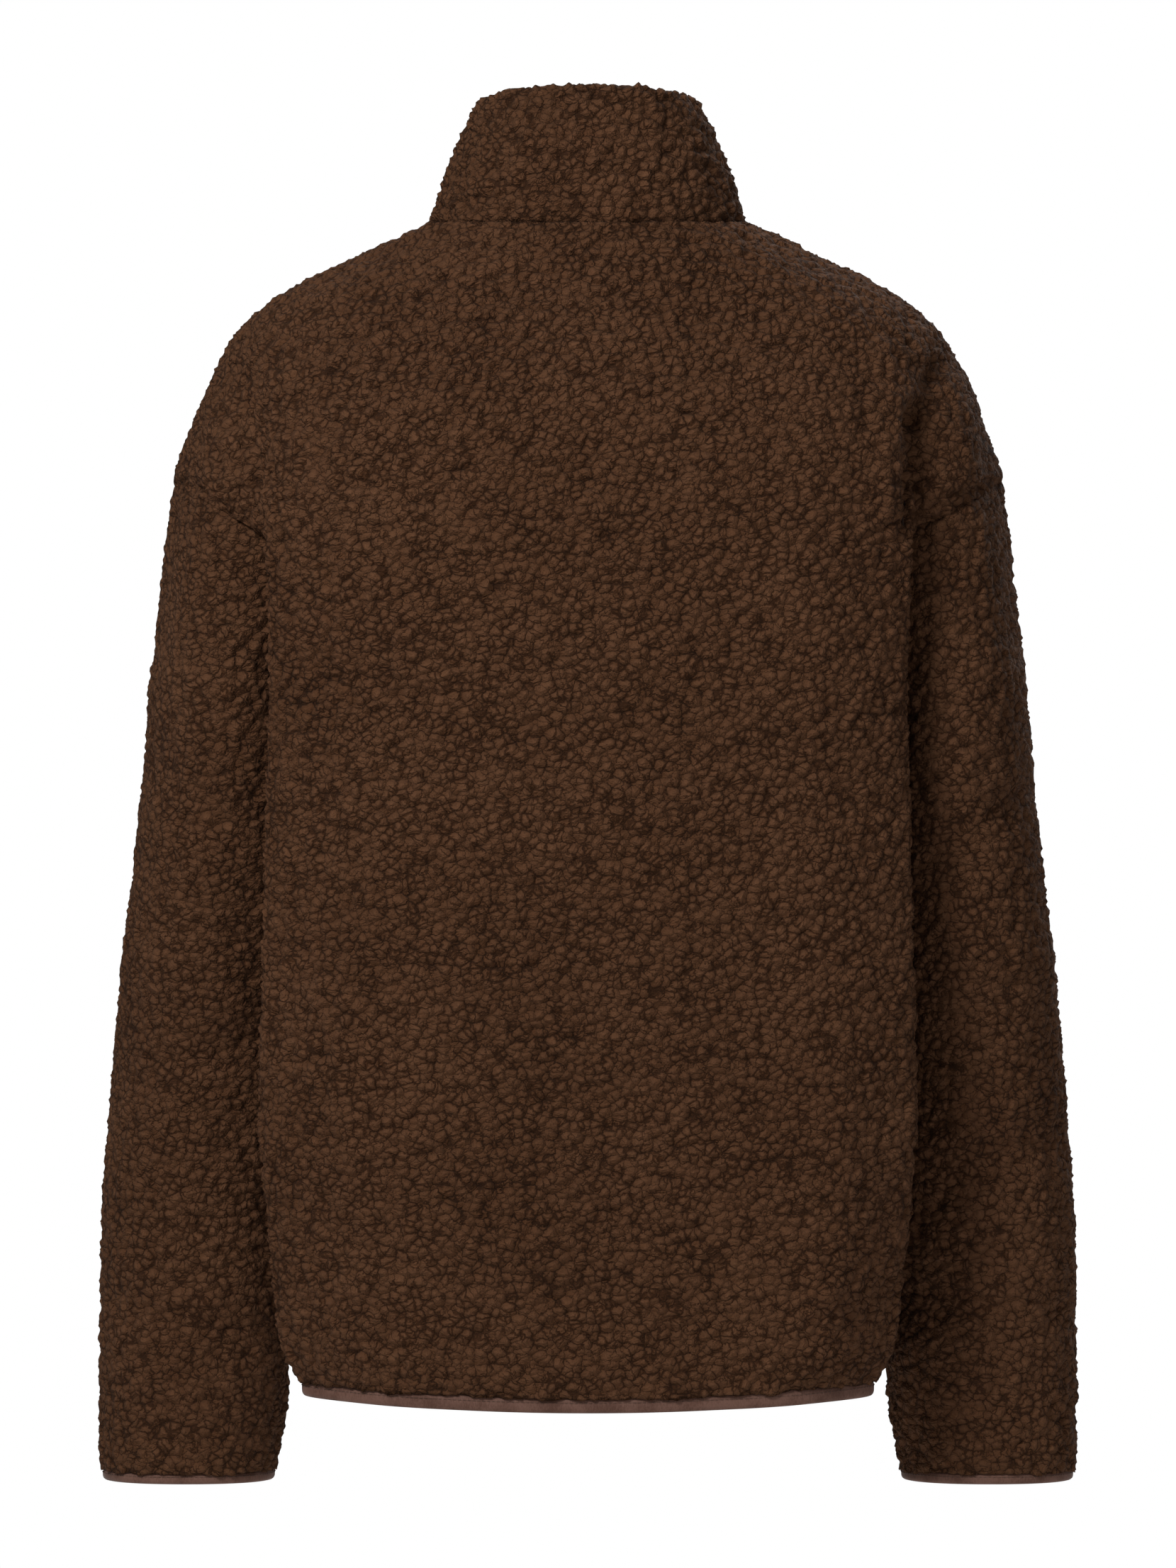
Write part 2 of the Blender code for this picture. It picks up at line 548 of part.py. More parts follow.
class Garment:
    """The outer faces of all the cloth pieces on shared seam points, and the walls made from them."""

    def __init__(self):
        back = panel_half()
        front = panel_half(front=True)
        underarm = SIDE_ROWS
        top = SIDE_ROWS + ARMHOLE_ROWS
        back_edge = back[underarm : top + 1, -1][::-1]
        front_edge = front[underarm + 1 : top, -1]
        mirror = np.array([-1.0, 1.0, 1.0])
        sleeve = sleeve_grid(np.concatenate([back_edge, front_edge]))[:, ::-1]
        collar_half = self.collar_half()
        # Columns turn left seen from outside: on the back from -x to +x, on the front from +x to -x.
        self.grids = {
            "back": (np.concatenate([back[:, :0:-1] * mirror, back], axis=1), False),
            "front_right": (front[:, ::-1], False),
            "front_left": (front * mirror, False),
            "sleeve_right": (sleeve[::-1], True),
            "sleeve_left": (sleeve[::-1, ::-1] * mirror, True),
            "collar": (np.concatenate([collar_half[:, :0:-1] * mirror, collar_half], axis=1), False),
        }
        self.add_folds()
        self.normals = shared_normals(self.grids)

    @staticmethod
    def collar_half():
        """Half of the collar's outer face, from the middle of the back to the zip."""
        u = np.linspace(0, 1, ACROSS + 1)
        lines = []
        for ring in (neck_ring, collar_ring):
            lines.append(np.concatenate([ring(u), ring(u[::-1], front=True)[1:]]))
        bottom, top = lines
        share = np.linspace(0, 1, COLLAR_ROWS + 1)[:, None, None]
        grid = bottom + (top - bottom) * share
        way_out = top * np.array([1.0, 1.0, 0.0])
        way_out /= np.linalg.norm(way_out, axis=-1, keepdims=True)
        belly = 2.0 * MM * np.sin(math.pi * share)
        return grid + way_out * belly

    def add_folds(self):
        """Moves the outer faces by the folds, with shared points moved alike."""
        normals = shared_normals(self.grids)
        for name, (grid, wrap) in list(self.grids.items()):
            height = fold_height(grid, normals[name])
            if name == "collar":
                height *= np.linspace(1, 0, grid.shape[0])[:, None]
            self.grids[name] = (grid + normals[name] * height[..., None], wrap)

    def wall(self, name, thick):
        """Points and triangles of a piece's wall, its borders drawn in to leave the seam gap."""
        grid, wrap = self.grids[name]
        normals = self.normals[name]
        borders = ["last_row"] if wrap else list(BORDERS)
        outer = grid.copy()
        # The underarm's seam presses the cloth flat, and its walls stay clear of each other there.
        depth = thick * (1 - UNDERARM_THIN * np.exp(-((away_from(UNDERARM, grid) / UNDERARM_REACH) ** 2)))
        inner = grid - normals * depth[..., None]
        draw_in(outer, inner, normals, borders)
        return closed_wall(outer, inner, wrap)

    def collar_wall(self):
        """The collar's wall with its top edge rounded over."""
        grid = self.grids["collar"][0]
        normals = self.normals["collar"]
        up = grid[-1] - grid[-2]
        up /= np.linalg.norm(up, axis=1, keepdims=True)
        radius = 0.5 * COLLAR_WALL
        outer = list(grid)
        inner = list(grid - normals * COLLAR_WALL)
        outer[-1] = grid[-1] - up * radius
        inner[-1] = outer[-1] - normals[-1] * COLLAR_WALL
        middle = outer[-1] - normals[-1] * radius
        for turn in (35, 70):
            a = math.radians(turn)
            side = normals[-1] * radius * math.cos(a)
            rise = up * radius * math.sin(a)
            outer.append(middle + side + rise)
            inner.append(middle - side + rise)
        outer = np.array(outer)
        inner = np.array(inner)
        draw_in(
            outer,
            inner,
            np.concatenate([normals, normals[-1:], normals[-1:]]),
            ("first_row", "first_column", "last_column"),
        )
        return closed_wall(outer, inner, False)

    def hem_line(self):
        """The lower edge of the body from the left zip edge round the back to the right one, with its normals."""
        order = ("front_left", "back", "front_right")
        line = []
        normals = []
        for name in order:
            line.append(self.grids[name][0][0])
            normals.append(self.normals[name][0])
        line = [line[0], line[1][1:], line[2][1:]]
        normals = [normals[0], normals[1][1:], normals[2][1:]]
        return np.concatenate(line), np.concatenate(normals)


# Outline of a binding: steps inwards from the pile's outer face, and down from the panel's edge, in mm
BINDING_OUTLINE = ((1.6, 0.15), (1.3, 0.4), (1.5, 0.8), (2.3, 1.0), (3.6, 1.0), (4.4, 0.8), (4.6, 0.4), (4.6, 0.15))


def binding(line, normals, high, closed):
    """A soft rounded strip hanging from the lower edge of a piece."""
    down = np.array([0.0, 0.0, -1.0])
    flat = normals - np.sum(normals * down, axis=1, keepdims=True) * down
    flat /= np.linalg.norm(flat, axis=1, keepdims=True)
    rings = []
    for inwards, share in BINDING_OUTLINE:
        drop = 0.5 * SEAM_GAP if share == 0.15 else share * high
        rings.append(line - flat * inwards * MM + down * drop)
    return bar_faces(np.stack(rings, axis=1), closed)


class ZipFrame:
    """Places for the zip's pieces: steps across, out of the tape's outer face, and along the zip."""

    def __init__(self, garment):
        rows = []
        for name in ("front_right", "collar"):
            thick = COLLAR_WALL if name == "collar" else WALL
            grid = garment.grids[name][0][:, -2:] - garment.normals[name][:, -2:] * (thick + TAPE_GAP)
            rows.append((grid, garment.normals[name][:, -2:]))
        # The collar is thicker than a front, so the tape goes round its lower edge from the seam on.
        grid = np.concatenate([rows[0][0][:-1], rows[1][0]])
        normals = np.concatenate([rows[0][1][:-1], rows[1][1]])
        # The tape starts at the fold of the hem binding and ends just under the collar's top.
        grid[0, :, 2] -= HEM_BINDING - 0.5 * MM
        grid[-1] -= (grid[-1] - grid[-2]) * 0.16
        self.edge = grid[:, 1]
        self.inside = grid[:, 0]
        self.normals = normals
        self.middle = self.edge * np.array([0.0, 1.0, 1.0])
        out = normals[:, 1] * np.array([0.0, 1.0, 1.0])
        self.out = out / np.linalg.norm(out, axis=1, keepdims=True)

    def tape(self, side):
        """Rings of one tape: beside the chain, at the front's edge, and under the front."""
        near = self.middle + np.array([CHAIN_HALF_WIDE + 0.3 * MM, 0.0, 0.0])
        reach = (CHAIN_HALF_WIDE + TAPE_WIDE - self.edge[:, 0]) / (self.inside[:, 0] - self.edge[:, 0])
        far = self.edge + (self.inside - self.edge) * np.clip(reach, 0, 1)[:, None]
        edge_in = self.normals[:, 1] * TAPE_THICK
        far_in = self.normals[:, 0] * TAPE_THICK
        near_in = self.out * TAPE_THICK
        rings = np.stack([near, self.edge, far, far - far_in, self.edge - edge_in, near - near_in], axis=1)
        return rings * np.array([side, 1.0, 1.0])

    def chain(self, low, high):
        """Rings of the closed chain from low to high, given as heights."""
        z = self.middle[:, 2]
        keep = (z > low + 2 * MM) & (z < high - 2 * MM)
        heights = np.concatenate([[low], z[keep], [high]])
        centre = np.stack([0 * heights, np.interp(heights, z, self.middle[:, 1]), heights], -1)
        out = np.stack([0 * heights, *(np.interp(heights, z, self.out[:, k]) for k in (1, 2))], -1)
        across = np.array([1.0, 0.0, 0.0])
        half = 0.5 * CHAIN_THICK
        corners = ((1, half), (1, -half), (-1, -half), (-1, half))
        rings = [
            centre + a * CHAIN_HALF_WIDE * across + (b - 0.5 * TAPE_THICK) * out for a, b in corners
        ]
        return np.stack(rings, axis=1)

    def placed(self, height):
        """The matrix of a frame on the zip at a height: x across, y out of the tape, z up along the zip."""
        z = self.middle[:, 2]
        i = int(np.clip(np.searchsorted(z, height), 1, len(z) - 1))
        up = Vector(self.middle[i] - self.middle[i - 1]).normalized()
        share = (height - z[i - 1]) / (z[i] - z[i - 1])
        place = Vector(self.middle[i - 1] + (self.middle[i] - self.middle[i - 1]) * share)
        across = Vector((1.0, 0.0, 0.0))
        out = up.cross(across).normalized()
        matrix = Matrix((across, out, up)).transposed().to_4x4()
        matrix.translation = place
        return matrix


# Zip hardware, in mm, in the frame of the slider: y is out of the tape's outer face
SLIDER_FROM_TOP = 9.5
PLATE_HALF_WIDE = 4.5
PLATE_HALF_LONG = 5.0
FRONT_PLATE = (1.1, 2.5)
BACK_PLATE = (-3.3, -1.9)
POST_HALF_WIDE = 1.5
POST_LOW = 1.0
BRIDGE_HALF_WIDE = 1.1
BRIDGE_HALF_LONG = 3.6
BRIDGE_TOP = 5.9
BRIDGE_HOLE_TOP = 4.8
BRIDGE_HOLE_HALF_LONG = 2.4
PULL_AXIS_Y = 3.65
PULL_BAR_RADIUS = 0.65
PULL_HALF_THICK = 0.7
PULL_HALF_WIDE = 3.2
PULL_LEG_IN = 1.6
PULL_WINDOW = 5.2
PULL_LONG = 27.0
BOX_LONG = 8.0


def box_between(name, low, high, bevel, material, collection):
    """A box from its two corners in mm."""
    low = np.array(low) * MM
    high = np.array(high) * MM
    return add_box(name, tuple(0.5 * (low + high)), tuple(high - low), bevel * MM, material, collection)


def build_zip(garment, materials, collection, cutters):
    """The closed zip: two tapes, the chain, the box at its foot, the slider at its top and the pull on it."""
    frame = ZipFrame(garment)
    for side, name in ((1.0, "zip_tape_right"), (-1.0, "zip_tape_left")):
        add_mesh(name, *bar_faces(frame.tape(side), False), materials["tape"], collection)
    foot = frame.middle[0, 2]
    top = frame.middle[-1, 2]
    slider_z = top - SLIDER_FROM_TOP * MM
    chain_top = slider_z + (POST_LOW - 0.4) * MM
    rings = frame.chain(foot + (BOX_LONG + 0.3) * MM, chain_top)
    add_mesh("zip_chain", *bar_faces(rings, False), materials["teeth"], collection)

    half = 1000 * CHAIN_HALF_WIDE
    box = box_between("zip_box", (-half, -2.4, 0), (half, 1.6, BOX_LONG), 0.4, materials["teeth"], collection)
    box.matrix_world = frame.placed(foot)

    metal = materials["metal"]
    wide, long = PLATE_HALF_WIDE, PLATE_HALF_LONG
    slider = box_between(
        "zip_slider", (-wide, FRONT_PLATE[0], -long), (wide, FRONT_PLATE[1], long), 0.4, metal, collection
    )
    added = (
        box_between("slider_back", (-wide, BACK_PLATE[0], -long), (wide, BACK_PLATE[1], long), 0.4, metal, cutters),
        box_between(
            "slider_post",
            (-POST_HALF_WIDE, BACK_PLATE[1] - 0.3, POST_LOW),
            (POST_HALF_WIDE, FRONT_PLATE[0] + 0.3, long - 0.8),
            0,
            metal,
            cutters,
        ),
        box_between(
            "slider_bridge",
            (-BRIDGE_HALF_WIDE, FRONT_PLATE[1] - 0.3, -BRIDGE_HALF_LONG),
            (BRIDGE_HALF_WIDE, BRIDGE_TOP, BRIDGE_HALF_LONG),
            0.3,
            metal,
            cutters,
        ),
    )
    for other in added:
        join_cut(slider, other, "UNION")
    hole = box_between(
        "bridge_hole",
        (-3.0, FRONT_PLATE[1] + 0.01, -BRIDGE_HOLE_HALF_LONG),
        (3.0, BRIDGE_HOLE_TOP, BRIDGE_HOLE_HALF_LONG),
        0,
        metal,
        cutters,
    )
    join_cut(slider, hole, "DIFFERENCE")
    matrix = frame.placed(slider_z)
    for obj in (slider, hole, *added):
        obj.matrix_world = matrix

    # The pull is a tab with a window. The bar over the window lies in the bridge, and the pull turns on it.
    pull = box_between(
        "zip_pull",
        (-PULL_HALF_WIDE, -PULL_HALF_THICK, -PULL_LONG),
        (PULL_HALF_WIDE, PULL_HALF_THICK, -PULL_WINDOW),
        0.4,
        metal,
        collection,
    )
    for side in (-1, 1):
        near, far = sorted((side * PULL_LEG_IN, side * (PULL_LEG_IN + 1.1)))
        leg = box_between(
            f"pull_leg_{'left' if side < 0 else 'right'}",
            (near, -0.6, -PULL_WINDOW - 1.5),
            (far, 0.6, 0.0),
            0,
            metal,
            cutters,
        )
        join_cut(pull, leg, "UNION")
        leg.matrix_world = matrix @ Matrix.Translation((0, PULL_AXIS_Y * MM, 0))
    bpy.ops.mesh.primitive_cylinder_add(
        vertices=16,
        radius=PULL_BAR_RADIUS * MM,
        depth=2 * (PULL_LEG_IN + 1.1) * MM,
        rotation=(0, math.pi / 2, 0),
    )
    bar = bpy.context.active_object
    bar.name = "pull_bar"
    bpy.ops.object.transform_apply(location=False, rotation=True, scale=False)
    for other in list(bar.users_collection):
        other.objects.unlink(bar)
    cutters.objects.link(bar)
    join_cut(pull, bar, "UNION")
    for obj in (pull, bar):
        obj.matrix_world = matrix @ Matrix.Translation((0, PULL_AXIS_Y * MM, 0))
    for obj in cutters.objects:
        obj.hide_render = True
        obj.display_type = "WIRE"


def main():
    for obj in list(bpy.data.objects):
        bpy.data.objects.remove(obj, do_unlink=True)
    collection = bpy.data.collections.new("teddy_jacket")
    bpy.context.scene.collection.children.link(collection)
    materials = {
        "pile": principled("pile cloth", (0.042, 0.019, 0.010), 0.95),
        "binding": principled("binding cloth", (0.107, 0.050, 0.034), 0.85),
        "tape": principled("zip tape", (0.035, 0.018, 0.012), 0.9),
        "teeth": principled("zip teeth", (0.030, 0.018, 0.013), 0.45),
        "metal": principled("zip metal", (0.20, 0.15, 0.11), 0.35, 1.0),
    }
    garment = Garment()
    for name in ("back", "front_left", "front_right", "sleeve_left", "sleeve_right"):
        add_mesh(name, *garment.wall(name, WALL), materials["pile"], collection)
    add_mesh("collar", *garment.collar_wall(), materials["pile"], collection)
    add_mesh("hem_binding", *binding(*garment.hem_line(), HEM_BINDING, False), materials["binding"], collection)
    for side in ("left", "right"):
        cuff = garment.grids[f"sleeve_{side}"][0][0]
        way = garment.normals[f"sleeve_{side}"][0]
        body = binding(cuff, way, CUFF_BINDING, True)
        add_mesh(f"cuff_binding_{side}", *body, materials["binding"], collection)
    cutters = bpy.data.collections.new("cutters")
    bpy.context.scene.collection.children.link(cutters)
    cutters.hide_render = True
    build_zip(garment, materials, collection, cutters)


if __name__ == "__main__":
    main()
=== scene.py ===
"""Looks of the teddy jacket: dark brown curly pile, stretch bindings and a closed front zip.

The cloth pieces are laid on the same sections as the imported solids, with a finer grid, and the pile is raised
from them by a Geometry Nodes tree. Units are metres, +Z is up, the back faces -Y and the zip +Y.
"""

import logging
import math
from dataclasses import dataclass, field
from enum import Enum
from typing import Any, Sequence

import bpy
import numpy as np
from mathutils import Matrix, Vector


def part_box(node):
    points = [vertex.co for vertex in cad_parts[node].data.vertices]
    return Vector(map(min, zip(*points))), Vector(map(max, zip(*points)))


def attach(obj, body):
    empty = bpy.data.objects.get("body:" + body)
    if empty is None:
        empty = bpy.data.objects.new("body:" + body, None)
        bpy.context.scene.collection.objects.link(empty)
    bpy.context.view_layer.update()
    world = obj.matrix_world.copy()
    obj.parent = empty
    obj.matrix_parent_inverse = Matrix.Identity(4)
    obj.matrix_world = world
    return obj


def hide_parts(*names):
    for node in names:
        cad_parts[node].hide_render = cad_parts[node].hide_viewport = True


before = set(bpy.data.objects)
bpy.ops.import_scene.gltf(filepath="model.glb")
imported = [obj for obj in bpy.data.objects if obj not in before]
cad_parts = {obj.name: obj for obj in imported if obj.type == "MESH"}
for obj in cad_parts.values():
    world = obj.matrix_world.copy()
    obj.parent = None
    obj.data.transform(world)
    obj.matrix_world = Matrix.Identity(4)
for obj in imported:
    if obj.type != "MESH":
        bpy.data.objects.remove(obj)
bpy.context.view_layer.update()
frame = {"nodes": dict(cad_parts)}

LOG = logging.getLogger("teddy_jacket")
MM = 0.001
MIRROR = np.array([-1.0, 1.0, 1.0])
LEVEL = np.array([1.0, 1.0, 0.0])
DOWN = np.array([0.0, 0.0, -1.0])
Array = np.ndarray


class Side(Enum):
    """The wearer's side, as its sign along X."""

    LEFT = -1
    RIGHT = 1

    @property
    def word(self) -> str:
        """The side's name in lower case."""
        return self.name.lower()


class Face(Enum):
    """The side of the garment that a fold lies on."""

    BACK = "back"
    FRONT = "front"


class Border(Enum):
    """A border of a cloth piece's grid."""

    BOTTOM = "bottom"
    TOP = "top"
    FIRST = "first"
    LAST = "last"


def linear(hex_colour: str) -> tuple[float, float, float, float]:
    """Turns an sRGB hex colour into linear RGBA.

    Args:
        hex_colour: A colour such as "#4a3026".

    Returns:
        Red, green, blue and an alpha of 1, linear.
    """
    parts = [int(hex_colour[i : i + 2], 16) / 255 for i in (1, 3, 5)]
    values = [v / 12.92 if v <= 0.04045 else ((v + 0.055) / 1.055) ** 2.4 for v in parts]
    return (values[0], values[1], values[2], 1.0)


def add_node(tree: bpy.types.NodeTree, kind: str, inputs: dict[Any, Any] | None = None, **settings: Any) -> Any:
    """Adds a node to a shader or geometry tree, with its settings, constants and links.

    Args:
        tree: The tree to add to.
        kind: The node's Blender type, such as "ShaderNodeBsdfPrincipled".
        inputs: For each input's name or number, a constant, the socket that feeds it, or a node whose first
            output feeds it.
        **settings: Properties of the node itself.

    Returns:
        The new node.
    """
    node = tree.nodes.new(kind)
    for name, value in settings.items():
        setattr(node, name, value)
    for name, value in (inputs or {}).items():
        if isinstance(value, bpy.types.Node):
            value = value.outputs[0]
        if isinstance(value, bpy.types.NodeSocket):
            tree.links.new(value, node.inputs[name])
        else:
            node.inputs[name].default_value = value
    return node


def unit(vectors: Array) -> Array:
    """The vectors with their lengths made 1."""
    return vectors / np.maximum(np.linalg.norm(vectors, axis=-1, keepdims=True), 1e-12)


def length_along(lines: Array) -> Array:
    """The way along each line of points, whose points follow one another down the first axis."""
    steps = np.linalg.norm(np.diff(lines, axis=0), axis=-1)
    return np.concatenate([np.zeros((1,) + steps.shape[1:]), np.cumsum(steps, axis=0)])


def read_line(where: Array, length: Array, line: Array) -> Array:
    """Reads the points, or the vectors, of a line at ways along it."""
    return np.stack([np.interp(where, length, column) for column in line.T], -1)


def sum_at_corners(count: int, corners: Array, vectors: Array) -> Array:
    """Adds up each face's vector at its corners.

    Args:
        count: How many points there are.
        corners: The faces' corner numbers.
        vectors: One vector a face.

    Returns:
        One sum a point.
    """
    sums = [sum(np.bincount(column, part, count) for column in corners.T) for part in vectors.T]
    return np.stack(sums, -1)


def point_numbers(points: Array, size: float) -> Array:
    """Numbers points so that those that lie together share a number.

    Args:
        points: The points.
        size: The rounding within which they count as one.

    Returns:
        A number for each point.
    """
    many = 4_000_003
    keys = np.round(points / size).astype(np.int64)
    code = (keys[:, 0] * many + keys[:, 1]) * many + keys[:, 2]
    return np.unique(code, return_inverse=True)[1].reshape(-1)


def ease(low: float, high: float, where: Array) -> Array:
    """Runs smoothly from 0 at low to 1 at high."""
    t = np.clip((where - low) / (high - low), 0, 1)
    return t * t * (3 - 2 * t)


def hermite(t: Array, span: Array, low: Array, high: Array, leave: Array, arrive: Array) -> Array:
    """Reads a cubic between two knots.

    Args:
        t: The share of the span, from 0 to 1.
        span: The distance between the knots.
        low: The value at the first knot.
        high: The value at the second.
        leave: The slope at the first knot.
        arrive: The slope at the second.

    Returns:
        The values at t.
    """
    return (
        (1 + 2 * t) * (1 - t) ** 2 * low
        + t * (1 - t) ** 2 * span * leave
        + t**2 * (3 - 2 * t) * high
        + t**2 * (t - 1) * span * arrive
    )


def smooth(knots: Array, values: Array, where: Array) -> Array:
    """Reads a smooth curve without overshoot.

    Args:
        knots: Rising places of the rows of values.
        values: One row a knot.
        where: The places to read.

    Returns:
        One row of values a place, in the shape of where.
    """
    step = np.diff(knots)[:, None]
    rate = np.diff(values, axis=0) / step
    slope = np.zeros_like(values)
    before = step[:-1] + 2 * step[1:]
    after = 2 * step[:-1] + step[1:]
    with np.errstate(divide="ignore", invalid="ignore"):
        mean = (before + after) / (before / rate[:-1] + after / rate[1:])
    slope[1:-1] = np.where(rate[1:] * rate[:-1] > 0, mean, 0.0)
    slope[0] = rate[0]
    slope[-1] = rate[-1]
    flat = np.clip(np.ravel(where), knots[0], knots[-1])
    i = np.clip(np.searchsorted(knots, flat, side="right") - 1, 0, len(knots) - 2)
    t = (flat - knots[i])[:, None] / step[i]
    curve = hermite(t, step[i], values[i], values[i + 1], slope[i], slope[i + 1])
    return curve.reshape(np.shape(where) + (values.shape[1],))


# Half of the body at each height, in mm. From the middle of the back, a section runs to the ridge at the back
# of the arm, through two points after it, to the edge: the shoulder line, the armhole seam or the side seam.
# A row is z, y at the middle, y of the line at the side, then x and y of the ridge, of the point after it, of
# the point near the edge and of the edge.
BODY_LEVELS = (
    (-640, -131, 10.0, 146.0, -87, 143, -67, 139, -36, 136.0, 10.0),
    (-626, -133, 10.0, 156.0, -91, 152, -70, 146, -38, 142.0, 10.0),
    (-612, -134, 10.0, 163.0, -95, 158, -73, 151, -39, 146.5, 10.0),
    (-600, -135, 10.0, 165.0, -97, 161, -74, 154, -39, 149.0, 10.0),
    (-550, -138, 10.0, 170.0, -101, 165, -77, 155, -40, 147.0, 10.0),
    (-490, -140, 10.0, 175.0, -105, 168, -78, 153, -40, 142.0, 10.0),
    (-340, -141, 10.0, 172.0, -105, 164, -79, 146, -42, 130.0, 10.0),
    (-265, -140, 9.0, 170.5, -104, 163, -80, 147, -47, 130.5, 9.0),
    (-250, -139, 8.5, 170.5, -104, 163, -80, 148, -47, 133.0, 8.5),
    (-238, -139, 8.0, 170.5, -104, 164, -81, 150, -48, 138.0, 8.0),
    (-205, -137, 6.0, 171.0, -103, 168, -90, 162, -74, 152.0, -52.0),
    (-175, -134, 3.0, 171.0, -102, 172, -93, 174, -84, 176.0, -73.0),
    (-164, -133, 2.0, 171.0, -101, 174, -89, 183, -78, 193.0, -68.0),
    (-153, -131, 1.0, 171.0, -100, 177, -85, 195, -71, 211.0, -54.0),
    (-142, -129, 0.0, 170.0, -99, 178, -83, 207, -62, 227.5, 0.0),
    (-110, -122, 0.0, 165.0, -94, 180, -78, 204, -50, 217.0, 0.0),
    (-80, -112, 0.0, 157.0, -86, 179, -66, 197, -37, 204.0, 0.0),
    (-60, -104, 0.0, 146.0, -79, 170, -57, 186, -30, 192.0, 0.0),
    (-40, -95, 0.0, 126.0, -70, 148, -48, 163, -24, 169.0, 0.0),
    (-20, -84, 0.0, 92.0, -60, 111, -41, 125, -21, 130.0, 0.0),
    (0, -72, 0.0, 57.0, -54, 72, -40, 83, -22, 87.0, 0.0),
)

# The shares of a section's way at which its seven points lie, and the two between the middle and the ridge as
# shares of the ridge's x and of its drop in y.
BODY_KNOTS = np.array([0, 0.24, 0.44, 0.57, 0.70, 0.85, 1.0])
BEFORE_RIDGE = ((0.42, 0.06), (0.78, 0.32))

# A sleeve's rounded section at each height, in mm, from its outer to its inner side and from back to front.
# A row is z, x outside, x inside, y at the back and y at the front.
SLEEVE_LEVELS = (
    (-690, 267.0, 171.5, -34, 54),
    (-676, 268.5, 170.0, -36, 55),
    (-650, 268.5, 165.0, -38, 57),
    (-610, 268.5, 164.0, -42, 58),
    (-560, 267.5, 160.0, -46, 58),
    (-483, 262.5, 154.0, -54, 60),
    (-406, 255.0, 150.0, -64, 62),
    (-330, 246.5, 146.0, -74, 66),
    (-270, 241.5, 144.0, -79, 72),
    (-250, 240.0, 142.0, -80, 74),
    (-238, 238.5, 138.0, -80, 75),
    (-205, 235.5, 133.0, -79, 76),
    (-175, 232.5, 131.0, -77, 74),
    (-142, 228.0, 130.0, -70, 70),
)

# The folds, in mm: the side of the garment, x and z of both ends, the half width and how far the crest
# stands out.
FOLDS = (
    ("back", -30, -40, 75, -52, 30, -4.0),
    ("back", -72, -104, -30, -160, 34, 5.0),
    ("back", 112, -116, 42, -200, 42, 5.5),
    ("back", -1, -104, -2, -148, 10, -3.5),
    ("back", -150, -250, -20, -290, 27, -5.0),
    ("back", 24, -286, 138, -314, 27, -5.0),
    ("back", -96, -374, -44, -420, 28, 5.0),
    ("back", -73, -350, 4, -396, 17, -3.0),
    ("back", 62, -378, 124, -356, 26, 3.5),
    ("back", -134, -418, -132, -500, 17, 3.5),
    ("back", -22, -474, 64, -494, 22, -4.5),
    ("back", 131, -458, 129, -576, 20, 4.5),
    ("back", -90, -536, -30, -556, 22, 3.5),
    ("back", 0, -588, 66, -604, 20, -3.0),
    ("back", -196, -86, -179, -142, 13, -5.0),
    ("back", 177, -166, 178, -112, 10, -8.0),
    ("back", 178, -112, 191, -80, 9, -6.0),
    ("back", 161, -160, 164, -104, 13, 4.0),
    ("back", 160, -588, 178, -592, 20, -4.0),
    ("back", -245, -290, -200, -330, 16, -4.5),
    ("back", -255, -395, -195, -430, 18, 3.5),
    ("back", -262, -470, -200, -455, 15, -4.0),
    ("back", -266, -590, -190, -610, 14, -3.5),
    ("back", 207, -84, 206, -130, 11, 3.5),
    ("back", 245, -310, 195, -345, 16, -4.5),
    ("back", 252, -405, 190, -385, 16, 3.5),
    ("back", 262, -500, 200, -525, 16, -4.0),
    ("back", 268, -600, 195, -590, 14, -3.5),
    ("front", -140, -230, -60, -330, 30, -3.5),
    ("front", 150, -250, 70, -335, 30, -3.0),
    ("front", -120, -430, -60, -560, 26, 3.0),
    ("front", 80, -420, 130, -540, 28, 3.0),
    ("front", -250, -360, -190, -390, 18, -4.0),
    ("front", 250, -375, 190, -350, 18, -4.0),
    ("front", -262, -450, -195, -430, 16, 3.0),
    ("front", 262, -440, 195, -465, 16, 3.0),
)
FOLD_FALL = 1.4
FOLD_FACING = (-0.1, 0.5)

# The folds fade out towards the underarm, where the body's and the sleeve's walls turn sharply.
UNDERARM = np.array([138.0, 8.0, -238.0]) * MM
UNDERARM_CLEAR = (30.0 * MM, 75.0 * MM)


@dataclass
class Grid:
    """One face of a cloth piece: rows go up, columns turn left seen from outside."""

    points: Array
    wrap: bool = False
    normals: Array = field(default_factory=lambda: np.zeros((0, 3)))

    def cells(self) -> Array:
        """Numbers the corners of the grid's four-sided cells.

        Returns:
            Four corner numbers a cell, in the order that faces out.
        """
        rows, columns = self.points.shape[:2]
        r, c = np.meshgrid(np.arange(rows - 1), np.arange(columns if self.wrap else columns - 1), indexing="ij")
        right = (c + 1) % columns
        corners = (r * columns + c, r * columns + right, (r + 1) * columns + right, (r + 1) * columns + c)
        return np.stack(corners, -1).reshape(-1, 4)


